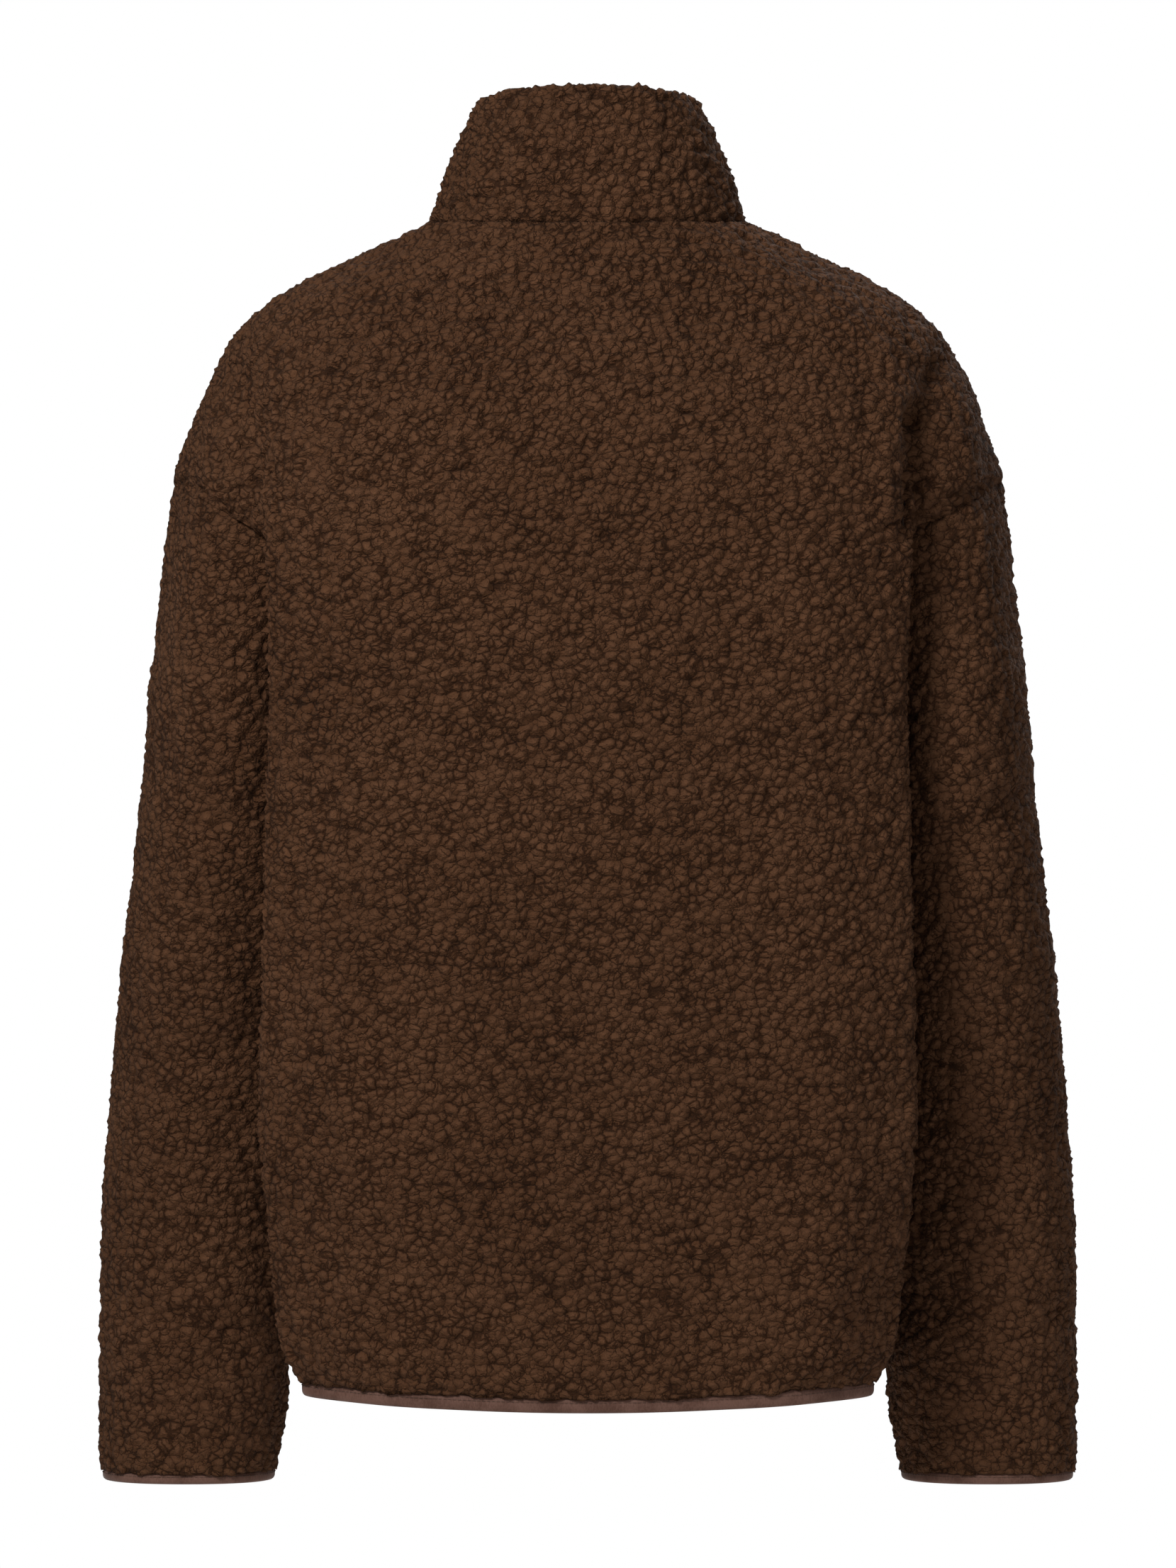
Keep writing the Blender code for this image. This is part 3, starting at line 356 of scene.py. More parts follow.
def share_normals(grids: dict[str, Grid]) -> None:
    """Gives each grid its outward normals, with points that several grids share given one normal.

    On the armhole seam it lies midway between the body's and the sleeve's.

    Args:
        grids: The grids by name, whose normals are set.
    """
    places: list[Array] = []
    sums: list[Array] = []
    parties: list[Array] = []
    for name, grid in grids.items():
        flat = grid.points.reshape(-1, 3)
        cells = grid.cells()
        normal = np.cross(flat[cells[:, 2]] - flat[cells[:, 0]], flat[cells[:, 3]] - flat[cells[:, 1]])
        places.append(flat)
        sums.append(sum_at_corners(len(flat), cells, normal))
        parties.append(np.full(len(flat), int(name.startswith("sleeve"))))
    index = point_numbers(np.concatenate(places), MM * MM)
    party = 2 * index + np.concatenate(parties)
    total = unit(sum_at_corners(2 * (index.max() + 1), party[:, None], np.concatenate(sums)))
    normals = unit((total[0::2] + total[1::2])[index])
    starts = np.cumsum([len(part) for part in sums])[:-1]
    for grid, part in zip(grids.values(), np.split(normals, starts)):
        grid.normals = part.reshape(grid.points.shape)


@dataclass
class JacketForm:
    """The worked-out outer faces of all the cloth, filled out as worn."""

    wall: float = 5.5 * MM
    collar_wall: float = 9.0 * MM
    front_depth: float = 1.03
    hem_binding: float = 7.0 * MM
    cuff_binding: float = 5.0 * MM
    zip_half_opening: float = 7.0 * MM
    hem_middle_z: float = -643.5 * MM
    hem_side_z: float = -632.0 * MM
    underarm_z: float = -238.0 * MM
    armhole_top_z: float = -142.0 * MM
    cuff_z: float = -689.5 * MM
    neck_half_wide: float = 87.0 * MM
    neck_back: float = 72.0 * MM
    neck_front: float = 85.0 * MM
    neck_back_dip: float = 4.0 * MM
    neck_front_dip: float = 55.0 * MM
    collar_half_wide: float = 60.5 * MM
    collar_back: float = 58.0 * MM
    collar_front: float = 76.0 * MM
    collar_side_z: float = 66.0 * MM
    collar_back_rise: float = 6.5 * MM
    collar_front_drop: float = 45.0 * MM
    back_columns: int = 192
    front_columns: int = 128
    side_rows: int = 168
    armhole_rows: int = 116
    shoulder_rows: int = 100
    sleeve_rows: int = 288
    collar_rows: int = 40
    stretch_shares: tuple[float, ...] = (0.0, 11 / 26, 20 / 26, 1.0)
    neck_power: float = 1.6
    collar_front_power: float = 1.4
    collar_back_power: float = 0.7
    collar_bow: float = 2.0 * MM
    sleeve_squareness: float = 2.2
    edge_slope_share: float = 0.35
    columns_spread_at: float = -0.4
    neck_pull_from: float = 0.72
    samples: int = 800
    grids: dict[str, Grid] = field(default_factory=dict)

    def __post_init__(self) -> None:
        """Reads both tables of sections."""
        table = np.array(BODY_LEVELS, float) * MM
        self.body_z, self.body_values = table[:, 0], table[:, 1:]
        table = np.array(SLEEVE_LEVELS, float) * MM
        self.sleeve_z, self.sleeve_values = table[:, 0], table[:, 1:]

    def body_point(self, u: Array, z: Array, front: bool = False) -> Array:
        """Reads points of half of the body, on the +X side.

        Args:
            u: From the middle (0) to the edge (1).
            z: Heights, in the same shape.
            front: Whether on the front rather than the back.

        Returns:
            The points.
        """
        knots = BODY_KNOTS
        u, z = np.broadcast_arrays(np.asarray(u, float), np.asarray(z, float))
        row = np.moveaxis(smooth(self.body_z, self.body_values, z), -1, 0)
        middle_y, line_y, ridge_x, ridge_y, after_x, after_y, near_x, near_y, edge_x, edge_y = row
        drop = ridge_y - middle_y
        inner_x, inner_y = [0 * ridge_x], [middle_y]
        for x_share, y_share in BEFORE_RIDGE:
            inner_x.append(x_share * ridge_x)
            inner_y.append(middle_y + y_share * drop)
        x = inner_x + [ridge_x, after_x, near_x, edge_x]
        y = inner_y + [ridge_y, after_y, near_y, edge_y]
        points = np.stack([np.stack(x, -1), np.stack(y, -1)], -1)
        slopes = np.zeros_like(points)
        rate = np.diff(points, axis=-2) / np.diff(knots)[:, None]
        share = (np.diff(knots)[:-1] / (knots[2:] - knots[:-2]))[:, None]
        slopes[..., 1:-1, :] = rate[..., :-1, :] * (1 - share) + rate[..., 1:, :] * share
        slopes[..., 0, 0] = rate[..., 0, 0]
        slopes[..., -1, :] = rate[..., -1, :]
        whole_edge = (z >= self.armhole_top_z - 1e-9) | (z <= self.underarm_z + 1e-9)
        slopes[..., -1, 0] = np.where(whole_edge, self.edge_slope_share * rate[..., -1, 0], rate[..., -1, 0])
        i = np.clip(np.searchsorted(knots, u, side="right") - 1, 0, len(knots) - 2)
        h = (knots[i + 1] - knots[i])[..., None]
        t = (u - knots[i])[..., None] / h

        def at(array: Array, index: Array) -> Array:
            """Picks one row an item."""
            return np.take_along_axis(array, index[..., None, None], axis=-2)[..., 0, :]

        xy = hermite(t, h, at(points, i), at(points, i + 1), at(slopes, i), at(slopes, i + 1))
        if front:
            y = line_y + self.front_depth * (line_y - xy[..., 1])
            xy = np.stack([xy[..., 0] + self.zip_step(u), y], -1)
        return np.concatenate([xy, z[..., None]], -1)

    def zip_step(self, u: Array) -> Array:
        """How far a front is moved off the middle to leave room for the zip."""
        return self.zip_half_opening * (1 - np.asarray(u, float)) ** 3

    def neck_ring(self, u: Array, front: bool = False) -> Array:
        """Reads points of the neck seam.

        Args:
            u: From the middle of the back, or of the front, (0) to the shoulder (1).
            front: Whether on the front.

        Returns:
            The points.
        """
        turn = 0.5 * math.pi * np.asarray(u, float)
        depth, dip = (self.neck_front, self.neck_front_dip) if front else (-self.neck_back, self.neck_back_dip)
        x = self.neck_half_wide * np.sin(turn) + (self.zip_step(u) if front else 0)
        return np.stack([x, depth * np.cos(turn), -dip * np.cos(turn) ** self.neck_power], -1)

    def collar_ring(self, u: Array, front: bool = False) -> Array:
        """Reads points of the collar's top edge.

        Args:
            u: From the middle of the back, or of the front, (0) to the shoulder (1).
            front: Whether on the front.

        Returns:
            The points.
        """
        turn = 0.5 * math.pi * np.asarray(u, float)
        c = np.cos(turn)
        x = self.collar_half_wide * np.sin(turn)
        if front:
            z = self.collar_side_z - self.collar_front_drop * c**self.collar_front_power
            return np.stack([x + self.zip_step(u), self.collar_front * c, z], -1)
        z = self.collar_side_z + self.collar_back_rise * c**self.collar_back_power
        return np.stack([x, -self.collar_back * c, z], -1)

    def edge_heights(self) -> Array:
        """Spaces the rows evenly over each stretch of a panel's outer edge.

        Returns:
            The rows' heights on that edge, from hem to neck.
        """
        bottom = self.hem_side_z + self.hem_binding
        heights: list[float] = []
        for low, high, rows in (
            (bottom, self.underarm_z, self.side_rows),
            (self.underarm_z, self.armhole_top_z, self.armhole_rows),
            (self.armhole_top_z, 0.0, self.shoulder_rows),
        ):
            z = np.linspace(low, high, self.samples)
            length = length_along(self.body_point(1.0, z))
            heights.extend(np.interp(np.linspace(0, length[-1], rows + 1), length, z)[:-1])
        return np.array(heights + [0.0])

    def panel_columns(self, columns: int) -> Array:
        """Places the columns of half a panel.

        Args:
            columns: How many there are.

        Returns:
            Their places from the middle (0) to the edge (1), halfway between even in number and in length.
        """
        even = np.linspace(0, 1, columns + 1)
        shares = np.linspace(0, 1, self.samples)
        length = length_along(self.body_point(shares, self.columns_spread_at))
        return 0.5 * (even + np.interp(even * length[-1], length, shares))

    def panel_half(self, u: Array, front: bool = False) -> Array:
        """Half a body panel's outer face.

        Args:
            u: The places of its columns.
            front: Whether it is a front rather than half of the back.

        Returns:
            A grid of points: rows from hem to neck, columns from the middle to the edge.
        """
        edge_z = self.edge_heights()
        counts = (self.side_rows, self.armhole_rows, self.shoulder_rows)
        v = np.interp(np.arange(sum(counts) + 1), np.concatenate([[0], np.cumsum(counts)]), self.stretch_shares)
        top = -self.neck_front_dip if front else -self.neck_back_dip
        bottom = self.hem_middle_z + self.hem_binding
        middle_z = bottom + (top - bottom) * v
        to_edge = 1 - np.cos(0.5 * math.pi * u) ** self.neck_power
        z = middle_z[:, None] * (1 - to_edge) + edge_z[:, None] * to_edge
        grid = self.body_point(np.broadcast_to(u, z.shape), z, front)
        miss = self.neck_ring(u, front) - grid[-1]
        return grid + miss * ease(self.neck_pull_from, 1.0, v)[:, None, None] ** 2

    def sleeve_tube(self, turn: Array, z: Array) -> Array:
        """Reads points of a sleeve's rounded tube.

        Args:
            turn: The turn from its outer side over the back, with its inner side at half a turn.
            z: Heights, in the same shape.

        Returns:
            The points.
        """
        outer, inner, back, front = np.moveaxis(smooth(self.sleeve_z, self.sleeve_values, z), -1, 0)
        power = 2 / self.sleeve_squareness
        c = np.cos(turn)
        s = np.sin(turn)
        x = 0.5 * (outer + inner) + 0.5 * (outer - inner) * np.sign(c) * np.abs(c) ** power
        y = 0.5 * (front + back) - 0.5 * (front - back) * np.sign(s) * np.abs(s) ** power
        return np.stack([x, y, z], -1)

    def sleeve(self, armhole: Array) -> Array:
        """A sleeve's outer face.

        Args:
            armhole: The armhole seam, from the shoulder down the back and up the front.

        Returns:
            A grid of points: rows from armhole to cuff, a column for each point of the seam.
        """
        outer, inner, back, front = np.moveaxis(smooth(self.sleeve_z, self.sleeve_values, armhole[:, 2]), -1, 0)
        across = (armhole[:, 0] - 0.5 * (outer + inner)) / (0.5 * (outer - inner))
        along = (0.5 * (front + back) - armhole[:, 1]) / (0.5 * (front - back))
        rounder = [np.sign(part) * np.abs(part) ** (0.5 * self.sleeve_squareness) for part in (along, across)]
        start = np.unwrap(np.arctan2(*rounder))
        finish = 2 * math.pi * np.arange(len(armhole)) / len(armhole)
        t = (np.arange(self.sleeve_rows + 1) / self.sleeve_rows)[:, None]
        z = armhole[:, 2] + (self.cuff_z + self.cuff_binding - armhole[:, 2]) * t
        grid = self.sleeve_tube(start + (finish - start) * ease(0, 0.5, t), z)
        miss = armhole - self.sleeve_tube(start, armhole[:, 2])
        return grid + miss * (1 - ease(0, 0.3, t))[..., None]

    def collar_half(self, back_u: Array, front_u: Array) -> Array:
        """Half of the collar's outer face, from the middle of the back to the zip."""
        bottom, top = (
            np.concatenate([ring(back_u), ring(front_u[::-1], front=True)[1:]])
            for ring in (self.neck_ring, self.collar_ring)
        )
        share = np.linspace(0, 1, self.collar_rows + 1)[:, None, None]
        way_out = unit(top * LEVEL)
        return bottom + (top - bottom) * share + way_out * self.collar_bow * np.sin(math.pi * share)

    def build(self) -> None:
        """Works out every grid, adds the folds and shares the normals at the seams."""
        back_u = self.panel_columns(self.back_columns)
        front_u = self.panel_columns(self.front_columns)
        back = self.panel_half(back_u)
        front = self.panel_half(front_u, front=True)
        low = self.side_rows
        high = low + self.armhole_rows
        seam = np.concatenate([back[low : high + 1, -1][::-1], front[low + 1 : high, -1]])
        sleeve = self.sleeve(seam)[:, ::-1]
        collar = self.collar_half(back_u[::2], front_u[::2])
        self.grids = {
            "back": Grid(np.concatenate([back[:, :0:-1] * MIRROR, back], axis=1)),
            "front_right": Grid(front[:, ::-1]),
            "front_left": Grid(front * MIRROR),
            "sleeve_right": Grid(sleeve[::-1], wrap=True),
            "sleeve_left": Grid(sleeve[::-1, ::-1] * MIRROR, wrap=True),
            "collar": Grid(np.concatenate([collar[:, :0:-1] * MIRROR, collar], axis=1)),
        }
        share_normals(self.grids)
        for name, grid in self.grids.items():
            height = fold_height(grid.points, grid.normals)
            if name == "collar":
                height = height * np.linspace(1, 0, grid.points.shape[0])[:, None]
            grid.points = grid.points + grid.normals * height[..., None]
        share_normals(self.grids)


def fold_height(points: Array, normals: Array) -> Array:
    """How far the folds move each point along its normal.

    Args:
        points: Points of an outer face.
        normals: Their outward normals.

    Returns:
        A height for each point, in metres.
    """
    height = np.zeros(points.shape[:-1])
    for side, from_x, from_z, to_x, to_z, half_wide, rise in FOLDS:
        start = np.array([from_x, from_z]) * MM
        run = np.array([to_x, to_z]) * MM - start
        offset = points[..., [0, 2]] - start
        share = np.clip(offset @ run / (run @ run), 0, 1)
        away = np.linalg.norm(offset - share[..., None] * run, axis=-1) / (half_wide * MM)
        outwards = -normals[..., 1] if Face(side) is Face.BACK else normals[..., 1]
        height += rise * MM * np.exp(-FOLD_FALL * away**2) * ease(*FOLD_FACING, outwards)
    beside = np.stack([np.abs(points[..., 0]), points[..., 1], points[..., 2]], -1)
    return height * ease(*UNDERARM_CLEAR, np.linalg.norm(beside - UNDERARM, axis=-1))


def mesh_object(name: str, points: Array, faces: Sequence[Array]) -> bpy.types.Object:
    """Adds a smooth-shaded mesh object to the scene.

    Args:
        name: The piece's name.
        points: Its points.
        faces: Arrays of corner numbers, each with its own count of corners a face.

    Returns:
        The object, at the origin.
    """
    mesh = bpy.data.meshes.new(name)
    corners = np.concatenate([part.reshape(-1) for part in faces]).astype(np.int32)
    sizes = np.concatenate([np.full(len(part), part.shape[1]) for part in faces])
    mesh.vertices.add(len(points))
    mesh.vertices.foreach_set("co", np.ascontiguousarray(points, np.float32).reshape(-1))
    mesh.loops.add(len(corners))
    mesh.loops.foreach_set("vertex_index", corners)
    mesh.polygons.add(len(sizes))
    starts = np.concatenate([[0], np.cumsum(sizes)[:-1]]).astype(np.int32)
    mesh.polygons.foreach_set("loop_start", starts)
    mesh.polygons.foreach_set("use_smooth", np.ones(len(sizes), bool))
    mesh.update(calc_edges=True)
    mesh.validate()
    obj = bpy.data.objects.new(name, mesh)
    bpy.context.scene.collection.objects.link(obj)
    return obj


def set_attribute(obj: bpy.types.Object, name: str, kind: str, values: Array) -> None:
    """Stores a point attribute on a mesh object.

    Args:
        obj: The object.
        name: The attribute's name.
        kind: "FLOAT" or "FLOAT_VECTOR".
        values: One value, or one vector, a point.
    """
    attribute = obj.data.attributes.new(name, kind, "POINT")
    target = "vector" if kind == "FLOAT_VECTOR" else "value"
    attribute.data.foreach_set(target, np.ascontiguousarray(values, np.float32).reshape(-1))


def border_distance(grid: Grid, borders: Sequence[Border]) -> Array:
    """The way along the grid from each point to the nearest of the named borders.

    Args:
        grid: The grid.
        borders: The borders to measure from.

    Returns:
        A distance for each point, in metres.
    """
    up = length_along(grid.points)
    across = length_along(grid.points.swapaxes(0, 1)).T
    away = {
        Border.BOTTOM: up,
        Border.TOP: up[-1] - up,
        Border.FIRST: across,
        Border.LAST: across[:, -1:] - across,
    }
    return np.minimum.reduce([away[border] for border in borders])


def seam_groove(grid: Grid, seams: Sequence[Border]) -> tuple[Array, Array]:
    """Lets a cloth's face dip a little along its seams.

    Args:
        grid: The cloth's outer face.
        seams: The borders that are sewn.

    Returns:
        How near each point is to a seam, 1 on it, and the points with the dip.
    """
    reach = 2.2 * MM
    deep = 0.5 * MM
    groove = np.exp(-((border_distance(grid, seams) / reach) ** 2))
    return groove, grid.points - grid.normals * (deep * groove)[..., None]


def fan_rim(outer: Array, inner: Array, step: int) -> Array:
    """Closes the rim between a fine line of points and a coarse one.

    Args:
        outer: The fine line's point numbers.
        inner: The coarse line's, one for each step-th of the fine line.
        step: How many times finer the fine line is.

    Returns:
        Triangles, as three point numbers each.
    """
    low = outer[:-1].reshape(-1, step)
    high = outer[1:].reshape(-1, step)
    faces = [np.stack([high[:, k], low[:, k], inner[:-1]], -1) for k in range(step)]
    faces.append(np.stack([outer[step::step], inner[:-1], inner[1:]], -1))
    return np.concatenate(faces)


def tube_faces(count: int, sides: int, closed: bool = False) -> list[Array]:
    """Faces of a closed outline that is carried along a line.

    Args:
        count: How many times the outline stands along the line.
        sides: The outline's points.
        closed: Whether the line joins its own start, so that it has no ends to cap.

    Returns:
        The four-sided faces of its flanks, then the triangles of both ends.
    """
    number = np.arange(count * sides).reshape(count, sides)
    turned = np.roll(number, -1, axis=1)
    last = count if closed else count - 1
    corners = (number, turned, np.roll(turned, -1, axis=0), np.roll(number, -1, axis=0))
    faces = [np.stack([part[:last] for part in corners], -1).reshape(-1, 4)]
    if not closed:
        fan = np.arange(1, sides - 1)
        faces.append(np.stack([number[0][0 * fan], number[0][fan + 1], number[0][fan]], -1))
        faces.append(np.stack([number[-1][0 * fan], number[-1][fan], number[-1][fan + 1]], -1))
    return faces


def turned_round(faces: Sequence[Array]) -> list[Array]:
    """The same faces, looking the other way."""
    return [part[:, ::-1] for part in faces]


# Materials


def new_material(name: str) -> tuple[bpy.types.Material, bpy.types.NodeTree, bpy.types.NodeSocket]:
    """Starts a material.

    Args:
        name: The material's name.

    Returns:
        The material, its empty tree and a socket of object coordinates.
    """
    material = bpy.data.materials.new(name)
    material.use_nodes = True
    material.node_tree.nodes.clear()
    place = add_node(material.node_tree, "ShaderNodeTexCoord").outputs["Object"]
    return material, material.node_tree, place


@dataclass(frozen=True)
class PileCloth:
    """Teddy fleece: acrylic pile tumbled into tight curls, so round dull tufts; the colour paints shade in the
    creases between them and light on their tops.
    """

    # The darkest colour is painted shade, laid in the creases between the tufts.
    gap: str = "#1e0f06"
    body: str = "#492d1a"
    # The lightest colour is mostly painted light on the tufts' domed tops, partly the fibres' own lighter tone.
    tip: str = "#63432e"
    lift: str = "#7a5a44"
    tuft_mm: float = 5.2
    lobe_mm: float = 2.6
    fibre_mm: float = 0.6
    patch_mm: float = 70.0
    fray: float = 0.45

    def build(self) -> bpy.types.Material:
        """Builds the material; "locks" holds the cloth's own place, in widths of a tuft.

        Returns:
            The material.
        """
        material, tree, place = new_material("curly_teddy_pile")
        locks = add_node(tree, "ShaderNodeAttribute", attribute_name="locks").outputs["Vector"]
        ruffle = add_node(tree, "ShaderNodeTexNoise", {"Vector": locks, "Scale": 4.0, "Detail": 2.0})
        frayed = add_node(
            tree,
            "ShaderNodeVectorMath",
            {0: ruffle.outputs["Color"], 1: (self.fray, self.fray, self.fray), 2: locks},
            operation="MULTIPLY_ADD",
        )
        rounds = []
        for scale in (1.0, self.tuft_mm / self.lobe_mm):
            centre = add_node(tree, "ShaderNodeTexVoronoi", {"Vector": frayed, "Scale": scale}, feature="F1")
            rounds.append(add_node(tree, "ShaderNodeMath", {0: 1.0, 1: centre}, operation="SUBTRACT"))
        tuft, lobe = rounds
        edge = add_node(
            tree, "ShaderNodeTexVoronoi", {"Vector": frayed, "Scale": 1.0}, feature="DISTANCE_TO_EDGE"
        )
        wide = add_node(tree, "ShaderNodeTexNoise", {"Vector": locks, "Scale": 0.5, "Detail": 1.0})
        # How wide the band of painted crease shade, and of the bump's dip, runs beside each crease.
        crease_shade_wide = add_node(
            tree,
            "ShaderNodeMapRange",
            {"Value": wide, "From Min": 0.4, "From Max": 0.65, "To Min": 0.03, "To Max": 0.2},
            interpolation_type="SMOOTHSTEP",
        )
        # 0 in the creases between tufts: it paints shade into the colour there and also sinks the bump.
        gap = add_node(
            tree,
            "ShaderNodeMapRange",
            {"Value": edge, "From Min": 0.0, "From Max": crease_shade_wide},
            interpolation_type="SMOOTHSTEP",
        )
        fibre = add_node(
            tree,
            "ShaderNodeTexNoise",
            {
                "Vector": locks,
                "Scale": self.tuft_mm / self.fibre_mm,
                "Detail": 2.0,
                "Roughness": 0.7,
                "Distortion": 1.2,
            },
        )
        patch = add_node(
            tree, "ShaderNodeTexNoise", {"Vector": place, "Scale": 1 / (self.patch_mm * MM), "Detail": 2.0}
        )
        # The first sum picks the colour: painted shade in the creases, painted light on the tufts' domed tops,
        # and random tone from the fibres and patches. The second is the bump's height.
        sums = []
        for start, parts in (
            (-0.1, ((patch, 0.3), (fibre, 0.34), (tuft, 0.3), (gap, 0.46))),
            (0.0, ((fibre, 0.5), (lobe, 0.5), (gap, 0.7), (tuft, 5.8))),
        ):
            total: Any = start
            for value, weight in parts:
                total = add_node(
                    tree, "ShaderNodeMath", {0: value, 1: weight, 2: total}, operation="MULTIPLY_ADD"
                )
            sums.append(total)
        shade, height = sums
        ramp = add_node(tree, "ShaderNodeValToRGB", {"Fac": shade})
        ramp.color_ramp.elements[0].position = 0.12
        ramp.color_ramp.elements[0].color = linear(self.gap)
        ramp.color_ramp.elements[1].position = 1.0
        ramp.color_ramp.elements[1].color = linear(self.tip)
        ramp.color_ramp.elements.new(0.62).color = linear(self.body)
        bump = add_node(tree, "ShaderNodeBump", {"Strength": 1.0, "Distance": MM, "Height": height})
        shader = add_node(
            tree,
            "ShaderNodeBsdfPrincipled",
            {
                "Base Color": ramp,
                "Roughness": 0.95,
                "Specular IOR Level": 0.12,
                "Sheen Weight": 0.12,
                "Sheen Roughness": 0.5,
                "Sheen Tint": linear(self.lift),
                "Normal": bump,
            },
        )
        add_node(tree, "ShaderNodeOutputMaterial", {"Surface": shader})
        return material


@dataclass(frozen=True)
class PlainCloth:
    """A fine cloth without pile, with two tones, a grain of loops or threads, and how much it shines.

    The backing is the fleece's knitted ground, flat and matt; the bindings are folded elastane jersey with a
    soft satin lift; the zip's tape is woven polyester, close and slightly glossy. The grains are drawn a
    little coarser than the real 0.3 to 0.6 mm, so that they show.
    """

    name: str
    low: str
    high: str
    grain_mm: float
    along_mm: float
    roughness: float
    sheen: float
    relief_mm: float

    def build(self) -> bpy.types.Material:
        """Builds the material.

        Returns:
            The material.
        """
        material, tree, place = new_material(self.name)
        stretched = add_node(
            tree, "ShaderNodeMapping", {"Vector": place, "Scale": (1.0, 1.0, self.grain_mm / self.along_mm)}
        )
        grain = add_node(
            tree,
            "ShaderNodeTexNoise",
            {"Vector": stretched, "Scale": 1 / (self.grain_mm * MM), "Detail": 2.0, "Roughness": 0.6},
        )
        cloud = add_node(tree, "ShaderNodeTexNoise", {"Vector": place, "Scale": 1 / (14 * MM), "Detail": 2.0})
        mixed = add_node(tree, "ShaderNodeMath", {0: grain, 1: 0.7, 2: cloud}, operation="MULTIPLY_ADD")
        share = add_node(
            tree,
            "ShaderNodeMapRange",
            {"Value": mixed, "From Min": 0.35 / 0.6, "From Max": 0.65 / 0.6},
            interpolation_type="SMOOTHSTEP",
        )
        colours = {0: share, 6: linear(self.low), 7: linear(self.high)}
        bump = add_node(
            tree, "ShaderNodeBump", {"Strength": 0.6, "Distance": self.relief_mm * MM, "Height": grain}
        )
        shader = add_node(
            tree,
            "ShaderNodeBsdfPrincipled",
            {
                "Base Color": add_node(tree, "ShaderNodeMix", colours, data_type="RGBA").outputs[2],
                "Roughness": self.roughness,
                "Specular IOR Level": 0.25,
                "Sheen Weight": self.sheen,
                "Sheen Roughness": 0.4,
                "Normal": bump,
            },
        )
        add_node(tree, "ShaderNodeOutputMaterial", {"Surface": shader})
        return material


@dataclass(frozen=True)
class MouldedTeeth:
    """Acetal zip teeth: moulded on the tape, so rounded, even and softly shiny."""

    low: str = "#22150e"
    high: str = "#33231a"

    def build(self) -> bpy.types.Material:
        """Builds the material.

        Returns:
            The material.
        """
        material, tree, place = new_material("moulded_acetal_teeth")
        cloud = add_node(tree, "ShaderNodeTexNoise", {"Vector": place, "Scale": 1 / (3 * MM), "Detail": 2.0})
        colours = {0: cloud, 6: linear(self.low), 7: linear(self.high)}
        roughness = add_node(
            tree,
            "ShaderNodeMapRange",
            {"Value": cloud, "From Min": 0.2, "From Max": 0.8, "To Min": 0.5, "To Max": 0.65},
            interpolation_type="SMOOTHSTEP",
        )
        shader = add_node(
            tree,
            "ShaderNodeBsdfPrincipled",
            {
                "Base Color": add_node(tree, "ShaderNodeMix", colours, data_type="RGBA").outputs[2],
                "Roughness": roughness,
                "Specular IOR Level": 0.3,
                "IOR": 1.48,
            },
        )
        add_node(tree, "ShaderNodeOutputMaterial", {"Surface": shader})
        return material


@dataclass(frozen=True)
class CoatedMetal:
    """Die-cast zinc with a dark bronze coat: satin, with brighter metal where fingers rub it."""

    coat: str = "#4d3a2e"
    worn: str = "#8a715c"

    def build(self) -> bpy.types.Material:
        """Builds the material.

        Returns:
            The material.
        """
        material, tree, place = new_material("bronze_coated_zinc")
        scratch = add_node(
            tree,
            "ShaderNodeTexNoise",
            {"Vector": place, "Scale": 1 / (1.2 * MM), "Detail": 4.0, "Roughness": 0.7},
        )
        touch = add_node(tree, "ShaderNodeTexNoise", {"Vector": place, "Scale": 1 / (2.5 * MM), "Detail": 3.0})
        rubbed, roughness = (
            add_node(
                tree,
                "ShaderNodeMapRange",
                {"Value": value, "From Min": low, "From Max": high, "To Min": to_low, "To Max": to_high},
                interpolation_type="SMOOTHSTEP",
            )
            for value, low, high, to_low, to_high in (
                (touch, 0.52, 0.7, 0.0, 1.0),
                (scratch, 0.2, 0.8, 0.28, 0.48),
            )
        )
        colours = {0: rubbed, 6: linear(self.coat), 7: linear(self.worn)}
        bump = add_node(tree, "ShaderNodeBump", {"Strength": 0.15, "Distance": 0.05 * MM, "Height": scratch})
        shader = add_node(
            tree,
            "ShaderNodeBsdfPrincipled",
            {
                "Base Color": add_node(tree, "ShaderNodeMix", colours, data_type="RGBA").outputs[2],
                "Metallic": 1.0,
                "Roughness": roughness,
                "Normal": bump,
            },
        )
        add_node(tree, "ShaderNodeOutputMaterial", {"Surface": shader})
        return material


@dataclass
class Finishes:
    """Every material of the jacket, built once."""

    pile: bpy.types.Material
    backing: bpy.types.Material
    binding: bpy.types.Material
    thread: bpy.types.Material
    tape: bpy.types.Material
    teeth: bpy.types.Material
    metal: bpy.types.Material

    @classmethod
    def build(cls) -> "Finishes":
        """Builds all the materials."""
        return cls(
            PileCloth().build(),
            PlainCloth("knitted_backing", "#22140c", "#3c291c", 0.9, 1.6, 0.9, 0.1, 0.4).build(),
            PlainCloth("stretch_jersey_binding", "#4f3429", "#684b40", 0.7, 1.8, 0.75, 0.12, 0.25).build(),
            PlainCloth("spun_polyester_thread", "#3b261b", "#5a4033", 0.4, 0.4, 0.6, 0.1, 0.1).build(),
            PlainCloth("woven_zip_tape", "#26170f", "#3f2b20", 0.6, 0.6, 0.7, 0.0, 0.15).build(),
            MouldedTeeth().build(),
            CoatedMetal().build(),
        )


# The pile


